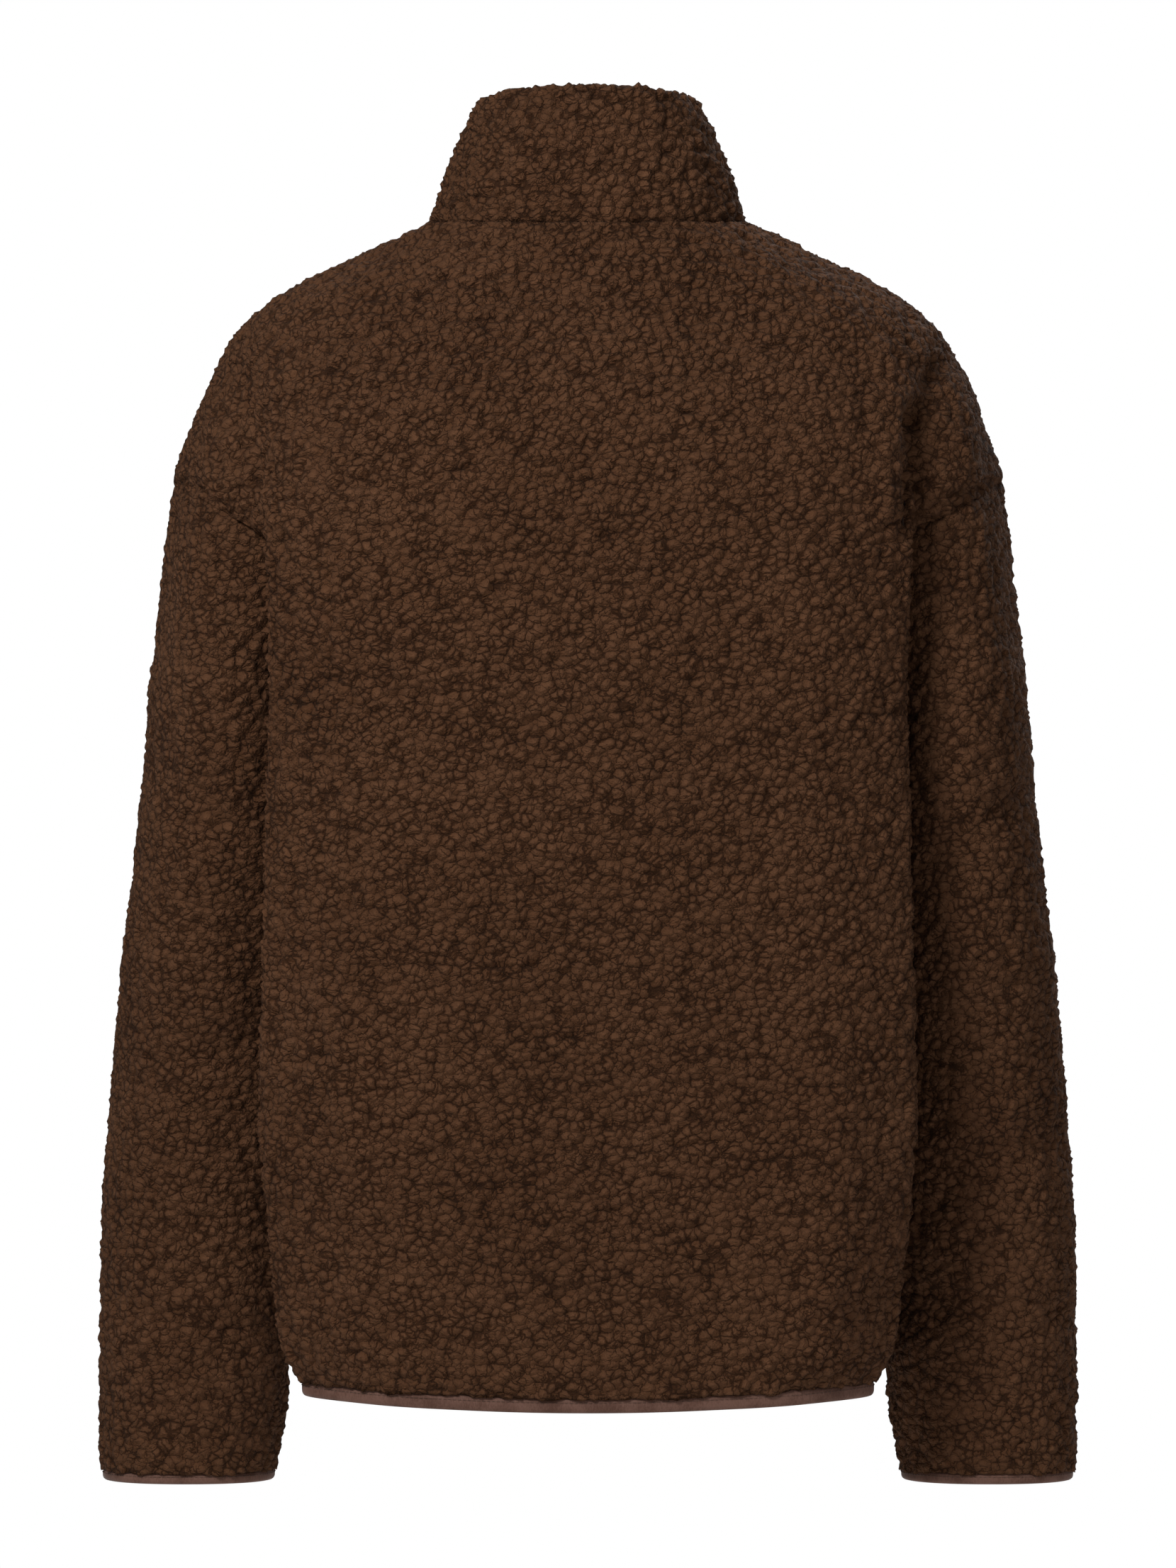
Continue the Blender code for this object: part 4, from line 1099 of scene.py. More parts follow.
@dataclass
class PileTree:
    """The Geometry Nodes tree that raises round tufts from a cloth piece along its stored direction."""

    tuft_mm: float = 5.2
    flatter: float = 1.2
    depth_mm: float = 3.2
    seed: float = 3.0
    middle: float = 0.42
    curl_share: float = 0.9
    clump_share: float = 0.9
    sway: float = 1.3
    group: Any = None

    def build(self, pile: bpy.types.Material, backing: bpy.types.Material) -> None:
        """Builds the tree.

        Args:
            pile: The material of the raised side.
            backing: The material of the side that lies against the wearer.
        """
        tree = bpy.data.node_groups.new("curly_pile", "GeometryNodeTree")
        self.group = tree
        face = tree.interface
        face.new_socket("Geometry", in_out="INPUT", socket_type="NodeSocketGeometry")
        for name, value in (("Tuft", self.tuft_mm), ("Depth", self.depth_mm), ("Seed", self.seed)):
            socket = face.new_socket(name, in_out="INPUT", socket_type="NodeSocketFloat")
            socket.default_value = value
        face.new_socket("Geometry", in_out="OUTPUT", socket_type="NodeSocketGeometry")
        given = add_node(tree, "NodeGroupInput").outputs
        place = add_node(tree, "GeometryNodeInputPosition")
        start = add_node(tree, "ShaderNodeCombineXYZ", {"X": given["Seed"], "Z": given["Seed"]})
        in_mm = add_node(
            tree,
            "ShaderNodeVectorMath",
            {0: place, 1: (1 / MM, 1 / MM, self.flatter / MM), 2: start},
            operation="MULTIPLY_ADD",
        )
        per_tuft = add_node(tree, "ShaderNodeMath", {0: 1.0, 1: given["Tuft"]}, operation="DIVIDE")
        cells = add_node(tree, "ShaderNodeVectorMath", {0: in_mm, "Scale": per_tuft}, operation="SCALE")
        sway = add_node(tree, "ShaderNodeTexNoise", {"Vector": cells, "Scale": 0.8, "Detail": 1.5})
        locks = add_node(
            tree,
            "ShaderNodeVectorMath",
            {0: sway.outputs["Color"], 1: (self.sway, self.sway, self.sway), 2: cells},
            operation="MULTIPLY_ADD",
        )
        centre = add_node(
            tree,
            "ShaderNodeTexVoronoi",
            {"Vector": locks, "Scale": 1.0, "Smoothness": 0.2},
            feature="SMOOTH_F1",
        )
        curl = add_node(tree, "ShaderNodeTexNoise", {"Vector": locks, "Scale": 0.75, "Detail": 1.5})
        clump = add_node(tree, "ShaderNodeTexNoise", {"Vector": cells, "Scale": 0.3, "Detail": 1.0})
        level: Any = self.middle - 0.5 * (self.curl_share + self.clump_share)
        for value, share in ((centre, -1.0), (curl, self.curl_share), (clump, self.clump_share)):
            level = add_node(tree, "ShaderNodeMath", {0: value, 1: share, 2: level}, operation="MULTIPLY_ADD")
        weight = add_node(tree, "GeometryNodeInputNamedAttribute", {"Name": "pile"}, data_type="FLOAT")
        way = add_node(tree, "GeometryNodeInputNamedAttribute", {"Name": "way"}, data_type="FLOAT_VECTOR")
        rise = level
        for factor in (weight, given["Depth"], MM):
            rise = add_node(tree, "ShaderNodeMath", {0: rise, 1: factor}, operation="MULTIPLY")
        move = add_node(tree, "ShaderNodeVectorMath", {0: way, "Scale": rise}, operation="SCALE")
        stored = add_node(
            tree,
            "GeometryNodeStoreNamedAttribute",
            {"Geometry": given["Geometry"], "Name": "locks", "Value": locks},
            data_type="FLOAT_VECTOR",
            domain="POINT",
        )
        moved = add_node(tree, "GeometryNodeSetPosition", {"Geometry": stored, "Offset": move})
        real = add_node(tree, "GeometryNodeRealizeInstances", {"Geometry": moved})
        inside = add_node(
            tree, "FunctionNodeCompare", {0: weight, 1: 0.02}, data_type="FLOAT", operation="LESS_THAN"
        )
        outer = add_node(tree, "GeometryNodeSetMaterial", {"Geometry": real, "Material": pile})
        dressed = add_node(
            tree, "GeometryNodeSetMaterial", {"Geometry": outer, "Selection": inside, "Material": backing}
        )
        add_node(tree, "NodeGroupOutput", {"Geometry": dressed})

    def grow(self, obj: bpy.types.Object, depth: float) -> None:
        """Raises the pile of one piece and leaves it a plain mesh.

        Args:
            obj: The piece, with its "pile" and "way" attributes.
            depth: The depth of the pile's relief in mm.
        """
        modifier = obj.modifiers.new("pile", "NODES")
        modifier.node_group = self.group
        set_inputs(modifier, {"Tuft": self.tuft_mm, "Depth": depth, "Seed": self.seed})
        apply_nodes(obj)


def set_inputs(modifier: bpy.types.Modifier, values: dict[str, Any]) -> None:
    """Sets a Geometry Nodes modifier's inputs by their sockets' identifiers.

    Args:
        modifier: The modifier, with its tree.
        values: A value for each input's name.
    """
    for item in modifier.node_group.interface.items_tree:
        if item.in_out == "INPUT" and item.name in values:
            modifier[item.identifier] = values[item.name]


def apply_nodes(obj: bpy.types.Object) -> None:
    """Turns a piece's evaluated shape into its plain mesh and removes its modifiers.

    Args:
        obj: The piece.
    """
    obj.update_tag()
    graph = bpy.context.evaluated_depsgraph_get()
    shape = obj.evaluated_get(graph)
    mesh = bpy.data.meshes.new_from_object(shape, preserve_all_data_layers=True, depsgraph=graph)
    obj.modifiers.clear()
    old = obj.data
    obj.data = mesh
    bpy.data.meshes.remove(old)
    mesh.name = obj.name


@dataclass
class Repeat:
    """The Geometry Nodes tree that sets copies of one small shape on points, such as teeth or stitches."""

    name: str
    material: bpy.types.Material
    size: float = 1.0

    def build(self, shape: bpy.types.Object, places: Array, turns: Array) -> bpy.types.Object:
        """Sets the copies.

        Args:
            shape: The shape to repeat, which is removed afterwards.
            places: A point for each copy.
            turns: Euler angles for each copy.

        Returns:
            All the copies as one plain mesh.
        """
        tree = bpy.data.node_groups.new(self.name, "GeometryNodeTree")
        tree.interface.new_socket("Geometry", in_out="INPUT", socket_type="NodeSocketGeometry")
        tree.interface.new_socket("Size", in_out="INPUT", socket_type="NodeSocketFloat")
        tree.interface.new_socket("Geometry", in_out="OUTPUT", socket_type="NodeSocketGeometry")
        given = add_node(tree, "NodeGroupInput").outputs
        copied = add_node(tree, "GeometryNodeObjectInfo", {"Object": shape}).outputs["Geometry"]
        turn = add_node(tree, "GeometryNodeInputNamedAttribute", {"Name": "turn"}, data_type="FLOAT_VECTOR")
        placed = add_node(
            tree,
            "GeometryNodeInstanceOnPoints",
            {"Points": given["Geometry"], "Instance": copied, "Rotation": turn, "Scale": given["Size"]},
        )
        real = add_node(tree, "GeometryNodeRealizeInstances", {"Geometry": placed})
        dressed = add_node(tree, "GeometryNodeSetMaterial", {"Geometry": real, "Material": self.material})
        add_node(tree, "NodeGroupOutput", {"Geometry": dressed})
        mesh = bpy.data.meshes.new(self.name)
        mesh.from_pydata(places.tolist(), [], [])
        obj = bpy.data.objects.new(self.name, mesh)
        bpy.context.scene.collection.objects.link(obj)
        set_attribute(obj, "turn", "FLOAT_VECTOR", turns)
        modifier = obj.modifiers.new("copies", "NODES")
        modifier.node_group = tree
        set_inputs(modifier, {"Size": self.size})
        apply_nodes(obj)
        bpy.data.objects.remove(shape, do_unlink=True)
        return obj


def join_shading(*pieces: bpy.types.Object) -> None:
    """Shades pieces that continue one another as one surface, across the line where they meet.

    Args:
        *pieces: The pieces, with equal points where they meet.
    """
    places: list[Array] = []
    sums: list[Array] = []
    for obj in pieces:
        count = len(obj.data.vertices)
        points = np.empty(count * 3, np.float32)
        obj.data.vertices.foreach_get("co", points)
        points = points.reshape(-1, 3).astype(float)
        obj.data.calc_loop_triangles()
        corners = np.empty(len(obj.data.loop_triangles) * 3, np.int32)
        obj.data.loop_triangles.foreach_get("vertices", corners)
        corners = corners.reshape(-1, 3)
        first, second, third = (points[column] for column in corners.T)
        places.append(points)
        sums.append(sum_at_corners(count, corners, np.cross(second - first, third - first)))
    index = point_numbers(np.concatenate(places), 5 * MM * MM)
    shared = unit(sum_at_corners(index.max() + 1, index[:, None], np.concatenate(sums))[index])
    start = 0
    for obj in pieces:
        count = len(obj.data.vertices)
        obj.data.normals_split_custom_set_from_vertices(shared[start : start + count].tolist())
        start += count


@dataclass
class ClothPiece:
    """One pile piece: its grid, how thick it is and how it was cut."""

    name: str
    node: str
    grid: Grid
    thick: float
    seams: tuple[Border, ...]
    flat: tuple[float, float]
    area: float
    depth_mm: float
    step: int = 4
    seam_mm: float = 3.0
    hem_droop: float = 0.9
    hem_reach: float = 5.0 * MM

    def build(self, pile: PileTree, body: str) -> bpy.types.Object:
        """Args:
            pile: The tree that raises the pile.
            body: The body it rides on.

        Returns:
            The finished piece.
        """
        grid = self.grid
        rows, columns = grid.points.shape[:2]
        step = self.step
        inner = (grid.points - grid.normals * self.thick)[::step, ::step]
        groove, outer = seam_groove(grid, self.seams)
        weight = 1 - (1 - self.seam_mm / self.depth_mm) * groove
        droop = self.hem_droop * (1 - ease(0.0, self.hem_reach, border_distance(grid, (Border.BOTTOM,))))
        way = unit(grid.normals + DOWN * droop[..., None])
        count = rows * columns
        small = Grid(inner, grid.wrap)
        number = np.arange(count).reshape(rows, columns)
        inner_number = count + np.arange(inner.shape[0] * inner.shape[1]).reshape(inner.shape[:2])
        faces = [grid.cells(), small.cells()[:, ::-1] + count]
        bottom, inner_bottom = number[0], inner_number[0]
        top, inner_top = number[-1], inner_number[-1]
        if grid.wrap:
            bottom, inner_bottom, top, inner_top = (
                np.append(line, line[0]) for line in (bottom, inner_bottom, top, inner_top)
            )
        rims = [fan_rim(bottom, inner_bottom, step), fan_rim(top[::-1], inner_top[::-1], step)]
        if not grid.wrap:
            rims.append(fan_rim(number[:, -1], inner_number[:, -1], step))
            rims.append(fan_rim(number[::-1, 0], inner_number[::-1, 0], step))
        points = np.concatenate([outer.reshape(-1, 3), inner.reshape(-1, 3)])
        obj = mesh_object(self.name, points, faces + rims)
        inside = np.zeros(len(points) - count)
        inside = np.zeros((len(points) - count, 3))
        set_attribute(obj, "pile", "FLOAT", np.concatenate([weight.reshape(-1), inside[:, 0]]))
        set_attribute(obj, "way", "FLOAT_VECTOR", np.concatenate([way.reshape(-1, 3), inside]))
        pile.grow(obj, self.depth_mm)
        finish_piece(obj, body, (self.node,))
        return obj


def finish_piece(obj: bpy.types.Object, body: str, nodes: Sequence[str]) -> None:
    """Rides a piece on a body and the nodes that it stands for, and reports it.

    Args:
        obj: The piece.
        body: The body that it rides on.
        nodes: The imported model's nodes that it replaces.
    """
    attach(obj, body)
    if nodes:
        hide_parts(*nodes)
    LOG.info("%s: %d faces, rides on %s", obj.name, len(obj.data.polygons), body)


@dataclass
class Bodice:
    """The back, in two halves of one panel, and the two fronts."""

    form: JacketForm
    depth_mm: float = 3.2
    half_flat: tuple[float, float] = (0.32, 0.66)
    half_area: float = 0.193
    front_flat: tuple[float, float] = (0.31, 0.66)
    front_area: float = 0.185

    def build(self, pile: PileTree, body: str) -> None:
        """Builds the panels.

        Args:
            pile: The tree that raises the pile.
            body: The body they ride on.
        """
        back = self.form.grids["back"]
        middle = self.form.back_columns
        wall = self.form.wall
        halves: list[bpy.types.Object] = []
        for side in Side:
            left = side is Side.LEFT
            cut = slice(0, middle + 1) if left else slice(middle, None)
            half = Grid(back.points[:, cut], False, back.normals[:, cut])
            piece = ClothPiece(
                f"back_{side.word}_half", "back", half, wall,
                (Border.TOP, Border.FIRST if left else Border.LAST),
                self.half_flat, self.half_area, self.depth_mm,
            )
            halves.append(piece.build(pile, body))
            front = f"front_{side.word}"
            ClothPiece(
                f"{front}_panel", front, self.form.grids[front], wall,
                (Border.TOP, Border.LAST if left else Border.FIRST),
                self.front_flat, self.front_area, self.depth_mm,
            ).build(pile, body)
        join_shading(*halves)


@dataclass
class Sleeves:
    """Both sleeves; the wearer's left one has its pile brushed flatter."""

    form: JacketForm
    left_depth_mm: float = 2.5
    right_depth_mm: float = 3.2
    flat: tuple[float, float] = (0.42, 0.56)
    area: float = 0.19

    def build(self, pile: PileTree, body: str) -> None:
        """Builds the sleeves.

        Args:
            pile: The tree that raises the pile.
            body: The body they ride on.
        """
        for side in Side:
            node = f"sleeve_{side.word}"
            depth = self.left_depth_mm if side is Side.LEFT else self.right_depth_mm
            ClothPiece(
                f"{node}_tube", node, self.form.grids[node], self.form.wall, (Border.TOP,),
                self.flat, self.area, depth,
            ).build(pile, body)


@dataclass
class Collar:
    """The standing collar, pile on both sides and rounded over its top.

    Its seam allowance tucks in behind the back's top edge, so no slit shows between the two piles.
    """

    form: JacketForm
    depth_mm: float = 3.8
    over_steps: int = 8
    allowance_down: float = 1.5 * MM
    allowance_in: float = 1.0 * MM
    flatter_at_seam: float = 0.2

    def build(self, pile: PileTree, body: str) -> bpy.types.Object:
        """Builds the collar.

        Args:
            pile: The tree that raises the pile.
            body: The body it rides on.

        Returns:
            The finished collar.
        """
        grid = self.form.grids["collar"]
        thick = self.form.collar_wall
        radius = 0.5 * thick
        up = unit(grid.points[-1] - grid.points[-2])
        keep = grid.points[:-2]
        out = grid.normals
        rows = list(keep[:-1]) + [grid.points[-1] - up * radius]
        ways = list(out[: len(keep) - 1]) + [out[-1]]
        outer_count = len(rows)
        middle = rows[-1] - out[-1] * radius
        for k in range(1, self.over_steps):
            turn = math.pi * k / self.over_steps
            way = out[-1] * math.cos(turn) + up * math.sin(turn)
            rows.append(middle + way * radius)
            ways.append(way)
        inner = [rows[k] - ways[k] * thick for k in range(outer_count)]
        rows += inner[::-1]
        ways += [-way for way in ways[:outer_count][::-1]]
        whole = Grid(np.array(rows), False, np.array(ways))
        count, columns = whole.points.shape[:2]
        number = np.arange(count * columns).reshape(count, columns)
        faces = [whole.cells()]
        faces.append(np.stack([number[0, 1:], number[0, :-1], number[-1, :-1], number[-1, 1:]], -1))
        half = count // 2
        low = np.arange(half)
        for column, turned in ((-1, False), (0, True)):
            line = number[:, column]
            quads = np.stack([line[low], line[low + 1], line[count - 2 - low], line[count - 1 - low]], -1)
            quads = quads[[len(set(q)) == 4 for q in quads.tolist()]]
            faces.append(quads if turned else quads[:, ::-1])
        groove, points = seam_groove(whole, (Border.BOTTOM,))
        rise = unit(points[1] - points[0])
        points[0] -= rise * self.allowance_down + whole.normals[0] * self.allowance_in
        obj = mesh_object("collar_band", points.reshape(-1, 3), faces)
        set_attribute(obj, "pile", "FLOAT", (1 - self.flatter_at_seam * groove).reshape(-1))
        set_attribute(obj, "way", "FLOAT_VECTOR", whole.normals.reshape(-1, 3))
        pile.grow(obj, self.depth_mm)
        finish_piece(obj, body, ("collar",))
        return obj


@dataclass
class Bindings:
    """The folded stretch bindings of the hem and cuffs, the pile hanging a little over them."""

    form: JacketForm
    stitch_pitch: float = 2.6 * MM
    stitch_long: float = 2.0 * MM
    thread_wide: float = 0.5 * MM
    hang: float = 0.15 * MM
    pucker_high: float = 0.18 * MM
    pucker_waves: tuple[float, float] = (5.5 * MM, 31.0 * MM)
    stitch_line: float = 0.2
    stitch_depths: tuple[float, float] = (1.05 * MM, 4.72 * MM)
    stitch_sides: int = 5
    outline: tuple[tuple[float, float], ...] = (
        (2.4, -0.25), (1.5, 0.0), (1.2, 0.14), (1.1, 0.3), (1.1, 0.5), (1.2, 0.7), (1.6, 0.86), (2.3, 0.97),
        (3.0, 1.0), (3.7, 0.96), (4.2, 0.84), (4.6, 0.6), (4.7, 0.3), (4.6, 0.0), (4.2, -0.25),
    )

    def strip(self, name: str, line: Array, normals: Array, high: float, closed: bool) -> bpy.types.Object:
        """Sweeps the binding's outline along the lower edge of a piece.

        Args:
            name: The piece's name.
            line: The edge's points.
            normals: The cloth's outward normals there.
            high: The binding's height.
            closed: Whether the line joins its own start.

        Returns:
            The binding as an object.
        """
        flat = unit(normals * LEVEL)
        length = length_along(line)
        short, long = self.pucker_waves
        pucker = self.pucker_high * np.sin(length / short) * np.sin(length / long)
        rings = []
        for inwards, share in self.outline:
            outset = (pucker * math.sin(math.pi * max(share, 0.0)))[:, None]
            rings.append(line - flat * (inwards * MM - outset) + DOWN * (share * high + self.hang))
        points = np.stack(rings, axis=1)
        faces = tube_faces(*points.shape[:2], closed)
        points = points.reshape(-1, 3)
        away = points[faces[0]] - points[0]
        if np.sum(np.cross(away[:, 0], away[:, 1]) * away[:, 2]) < 0:
            faces = turned_round(faces)
        return mesh_object(name, points, faces)

    def stitches(
        self, name: str, line: Array, normals: Array, high: float, closed: bool, finishes: Finishes, body: str
    ) -> None:
        """Sews the binding on with a row of stitches near its upper edge, outside and inside.

        Args:
            name: The piece's name.
            line: The cloth edge's points.
            normals: The cloth's outward normals there.
            high: The binding's height.
            closed: Whether the line joins its own start.
            finishes: The materials.
            body: The body that they ride on.
        """
        if closed:
            line = np.concatenate([line, line[:1]])
            normals = np.concatenate([normals, normals[:1]])
        flat = unit(normals * LEVEL)
        length = length_along(line)
        at = np.arange(self.stitch_pitch, length[-1] - self.stitch_pitch, self.stitch_pitch)
        centre = read_line(at, length, line)
        out = read_line(at, length, flat)
        run = np.gradient(centre, axis=0)
        heading = np.arctan2(run[:, 1], run[:, 0])
        pitch = -np.arctan2(run[:, 2], np.hypot(run[:, 0], run[:, 1]))
        below = DOWN * (self.stitch_line * high + self.hang)
        rows = [centre - out * inwards + below for inwards in self.stitch_depths]
        turns = np.stack([0 * heading, pitch, heading], -1)
        turn = np.arange(self.stitch_sides) * 2 * math.pi / self.stitch_sides
        rings = []
        for along, thick in ((-0.5, 0.35), (0.0, 1.0), (0.5, 0.35)):
            radius = 0.5 * self.thread_wide * thick
            ring = (0 * turn + along * self.stitch_long, radius * np.cos(turn), radius * np.sin(turn))
            rings.append(np.stack(ring, -1))
        faces = turned_round(tube_faces(len(rings), self.stitch_sides))
        stitch = mesh_object("stitch", np.concatenate(rings), faces)
        sewn = Repeat(name, finishes.thread).build(stitch, np.concatenate(rows), np.concatenate([turns, turns]))
        finish_piece(sewn, body, ())

    def build(self, finishes: Finishes, body: str) -> None:
        """Builds the hem's binding and both cuffs'.

        Args:
            finishes: The materials.
            body: The body they ride on.
        """
        edges = [self.form.grids[name] for name in ("front_left", "back", "front_right")]
        line = np.concatenate([edges[0].points[0]] + [edge.points[0, 1:] for edge in edges[1:]])
        way = np.concatenate([edges[0].normals[0]] + [edge.normals[0, 1:] for edge in edges[1:]])
        high = self.form.hem_binding
        hem = self.strip("hem_binding_strip", line, way, high, False)
        hem.data.materials.append(finishes.binding)
        finish_piece(hem, body, ("hem_binding",))
        self.stitches("hem_binding_stitches", line, way, high, False, finishes, body)
        high = self.form.cuff_binding
        for side in Side:
            grid = self.form.grids[f"sleeve_{side.word}"]
            line, way = grid.points[0], grid.normals[0]
            name = f"cuff_binding_{side.word}"
            cuff = self.strip(f"{name}_strip", line, way, high, True)
            cuff.data.materials.append(finishes.binding)
            finish_piece(cuff, body, (name,))
            self.stitches(f"{name}_stitches", line, way, high, True, finishes, body)


@dataclass
class FrontZip:
    """The closed zip: tapes, moulded teeth, stops, and the metal that comes from the solids."""

    form: JacketForm
    tape_wide: float = 15.0 * MM
    tape_thick: float = 0.8 * MM
    tape_gap: float = 0.6 * MM
    tape_columns: tuple[int, ...] = (-14, -10, -5, -1)
    tape_foot: float = 0.5 * MM
    under_teeth: float = 1.2 * MM
    collar_wall_from: tuple[float, float] = (-85.0 * MM, -58.0 * MM)
    chain_half_wide: float = 3.0 * MM
    chain_end: float = 1.0 * MM
    pitch: float = 2.6 * MM
    off_middle: float = 1.35 * MM
    sunk: float = 0.4 * MM

    def __post_init__(self) -> None:
        """Works out the lines that the tapes and the teeth follow."""
        panel = self.form.grids["front_right"]
        collar = self.form.grids["collar"]
        wall, collar_wall = self.form.wall, self.form.collar_wall
        depth = wall + (collar_wall - wall) * ease(*self.collar_wall_from, panel.points[:, -1, 2])
        parts = []
        for grid, thick in ((panel, depth), (collar, np.full(len(collar.points), collar_wall))):
            columns = list(self.tape_columns)
            points, ways = grid.points[:, columns], grid.normals[:, columns]
            parts.append((points - ways * (thick + self.tape_gap)[:, None, None], ways))
        self.rows = np.concatenate([parts[0][0][:-1], parts[1][0][:-2]])
        self.ways = np.concatenate([parts[0][1][:-1], parts[1][1][:-2]])
        self.rows[0, :, 2] -= self.form.hem_binding - self.tape_foot
        self.line = self.rows[:, -1] * np.array([0.0, 1.0, 1.0])
        self.out = unit(self.ways[:, -1] * np.array([0.0, 1.0, 1.0]))

    def tape(self, side: Side) -> bpy.types.Object:
        """Builds one tape as a thin closed strip under its front.

        Args:
            side: The side that it is on.

        Returns:
            The tape.
        """
        edge = self.rows[:, -1]
        near = self.line + np.array([self.chain_half_wide - self.under_teeth, 0.0, 0.0])
        reach = self.chain_half_wide + self.tape_wide
        columns = [near, edge]
        ways = [self.out, self.ways[:, -1]]
        for k in (2, 1, 0):
            span = np.maximum(self.rows[:, k, 0] - edge[:, 0], MM * MM)
            share = np.clip((reach - edge[:, 0]) / span, 0, 1)[:, None]
            columns.append(edge + (self.rows[:, k] - edge) * share)
            ways.append(self.ways[:, k])
        top = np.stack(columns, 1)
        low = top - np.stack(ways, 1) * self.tape_thick
        ring = np.concatenate([top, low[:, ::-1]], axis=1) * np.array([side.value, 1.0, 1.0])
        faces = tube_faces(*ring.shape[:2])
        if side is Side.RIGHT:
            faces = turned_round(faces)
        return mesh_object(f"zip_tape_{side.word}_strip", ring.reshape(-1, 3), faces)

    def tooth(self) -> bpy.types.Object:
        """Builds one moulded tooth: a block with a rounded head that reaches over the middle.

        Returns:
            The tooth, to be repeated.
        """
        outline = (
            (-0.9, 0.62), (0.3, 0.78), (1.0, 0.55), (1.5, 0.62), (1.75, 0.0), (1.5, -0.62), (1.0, -0.55),
            (0.3, -0.78), (-0.9, -0.62),
        )
        # Across towards the other side, then along the zip; the flanks lean in to the crown.
        points = []
        levels = ((-1.15, 1.0, 0.9), (0.55, 1.0, 1.0), (1.15, 0.86, 0.72))
        for height, narrow, shrink in levels:
            for across, along in outline:
                points.append((across * narrow, height, along * shrink))
        faces = turned_round(tube_faces(len(levels), len(outline)))
        return mesh_object("zip_tooth", np.array(points) * MM, faces)

    def teeth(self, low: float, high: float, material: bpy.types.Material) -> bpy.types.Object:
        """Sets teeth from both sides along the zip with Geometry Nodes and realises them.

        Args:
            low: The height of the first tooth.
            high: The height of the last tooth.
            material: The teeth's material.

        Returns:
            All the teeth as one mesh.
        """
        length = length_along(self.line)
        start, stop = np.interp([low, high], self.line[:, 2], length)
        places = np.arange(start, stop, self.pitch / 2)
        centre = read_line(places, length, self.line)
        lean = np.interp(places, length, np.arctan2(self.out[:, 2], self.out[:, 1]))
        hand = np.where(np.arange(len(places)) % 2 == 0, 1.0, -1.0)
        centre[:, 0] += hand * self.off_middle
        centre -= np.stack([0 * lean, np.cos(lean), np.sin(lean)], -1) * self.sunk
        # Every other tooth faces the other way: half a turn about its own height, then the same lean.
        turns = np.stack([-hand * lean, 0.5 * math.pi * (1 + hand), 0 * lean], -1)
        return Repeat("zip_chain_teeth", material).build(self.tooth(), centre, turns)

    def build(self, finishes: Finishes, nodes: dict[str, bpy.types.Object], body: str) -> None:
        """Builds the zip and dresses its carried-over metal.

        Args:
            finishes: The materials.
            nodes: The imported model's objects.
            body: The body that the cloth rides on.
        """
        for side in Side:
            tape = self.tape(side)
            tape.data.materials.append(finishes.tape)
            finish_piece(tape, body, (f"zip_tape_{side.word}",))
        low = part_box("zip_box")[1][2] + self.chain_end
        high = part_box("zip_chain")[1][2] - self.chain_end
        teeth = self.teeth(low, high, finishes.teeth)
        finish_piece(teeth, body, ("zip_chain",))
        for name, material in (
            ("zip_box", finishes.teeth),
            ("zip_slider", finishes.metal),
            ("zip_pull", finishes.metal),
        ):
            nodes[name].data.materials.clear()
            nodes[name].data.materials.append(material)


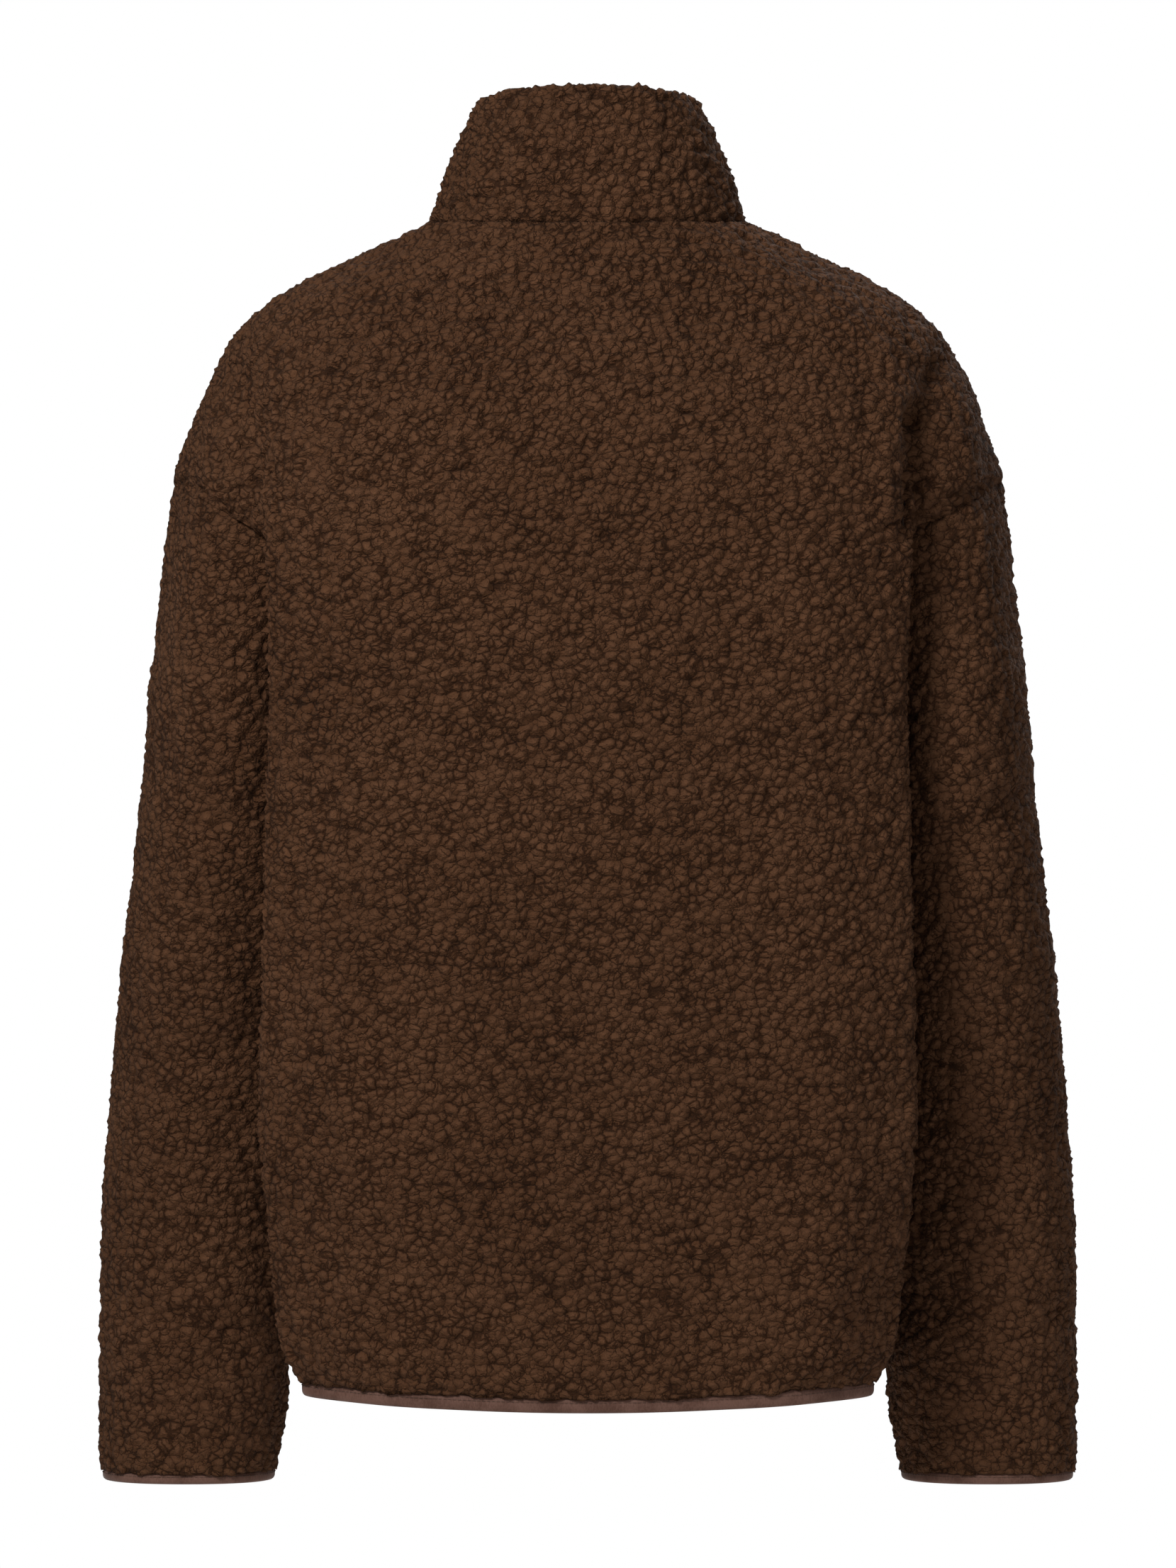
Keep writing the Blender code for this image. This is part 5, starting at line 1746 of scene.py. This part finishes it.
@dataclass
class Studio:
    """A pale floor, soft light mostly from the photograph's left, and the camera behind the wearer."""

    distance: float = 4.5
    reference_y: float = -0.05
    pixels_per_metre: float = 2600.0
    image: tuple[int, int] = (1659, 2212)
    middle_row: float = 1106.0
    neck_row: float = 305.0
    floor_z: float = -1.0
    ambient: float = 0.19
    sensor_mm: float = 36.0
    aim_z: float = -0.3
    floor_radius: float = 1.6
    floor_sides: int = 96
    lamps: tuple[tuple[str, tuple[float, float, float], float, float], ...] = (
        ("key", (-0.9, -1.6, 1.0), 0.7, 42.0),
        ("fill", (2.2, -2.6, 0.5), 1.6, 14.0),
        ("front", (1.2, 2.8, 1.6), 1.8, 90.0),
    )

    def build(self) -> None:
        """Builds the camera, the world, the floor and the lamps."""
        self.add_camera()
        self.add_world()
        self.add_floor()
        self.add_lamps()

    def add_camera(self) -> None:
        """Sets the camera at the photograph's height and scale."""
        camera = bpy.data.cameras.new("camera")
        camera.sensor_fit = "VERTICAL"
        camera.sensor_height = self.sensor_mm
        camera.lens = self.sensor_mm * self.distance * self.pixels_per_metre / self.image[1]
        camera.clip_end = 50.0
        obj = bpy.data.objects.new("camera", camera)
        height = (self.neck_row - self.middle_row) / self.pixels_per_metre
        obj.location = (0.0, self.reference_y - self.distance, height)
        obj.rotation_euler = (math.pi / 2, 0.0, 0.0)
        bpy.context.scene.collection.objects.link(obj)
        bpy.context.scene.camera = obj

    def add_world(self) -> None:
        """Makes the background white to the camera and a dim, even light to the jacket."""
        world = bpy.data.worlds.new("studio")
        world.use_nodes = True
        tree = world.node_tree
        seen = add_node(tree, "ShaderNodeLightPath").outputs["Is Camera Ray"]
        strength = add_node(
            tree, "ShaderNodeMath", {0: seen, 1: 1.0 - self.ambient, 2: self.ambient}, operation="MULTIPLY_ADD"
        )
        background = tree.nodes["Background"]
        background.inputs["Color"].default_value = (1.0, 1.0, 1.0, 1.0)
        tree.links.new(strength.outputs[0], background.inputs["Strength"])
        bpy.context.scene.world = world
        bpy.context.scene.view_settings.view_transform = "Standard"

    def add_floor(self) -> None:
        """Lays the pale floor well below the hem."""
        floor = bpy.data.meshes.new("floor")
        turns = np.linspace(0, 2 * math.pi, self.floor_sides, endpoint=False)
        ring = [(self.floor_radius * math.cos(t), self.floor_radius * math.sin(t), self.floor_z) for t in turns]
        floor.from_pydata(ring, [], [tuple(range(self.floor_sides))])
        material = bpy.data.materials.new("pale_floor")
        material.use_nodes = True
        shader = material.node_tree.nodes["Principled BSDF"]
        shader.inputs["Base Color"].default_value = linear("#f2f1ee")
        shader.inputs["Roughness"].default_value = 0.9
        floor.materials.append(material)
        stage = bpy.data.objects.new("floor", floor)
        bpy.context.scene.collection.objects.link(stage)

    def add_lamps(self) -> None:
        """Hangs the lamps, each turned to the middle of the jacket."""
        for name, place, size, power in self.lamps:
            light = bpy.data.lights.new(name, "AREA")
            light.size = size
            light.energy = power
            lamp = bpy.data.objects.new(name, light)
            lamp.location = place
            aim = Vector((0.0, 0.0, self.aim_z)) - Vector(place)
            lamp.rotation_euler = aim.to_track_quat("-Z", "Y").to_euler()
            bpy.context.scene.collection.objects.link(lamp)


def main() -> None:
    """Builds the jacket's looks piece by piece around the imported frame."""
    logging.basicConfig(level=logging.INFO, format="%(message)s")
    body = "garment"
    Studio().build()
    finishes = Finishes.build()
    pile = PileTree()
    pile.build(finishes.pile, finishes.backing)
    form = JacketForm()
    form.build()
    Bodice(form).build(pile, body)
    Sleeves(form).build(pile, body)
    Collar(form).build(pile, body)
    Bindings(form).build(finishes, body)
    FrontZip(form).build(finishes, frame["nodes"], body)


if __name__ == "__main__":
    main()
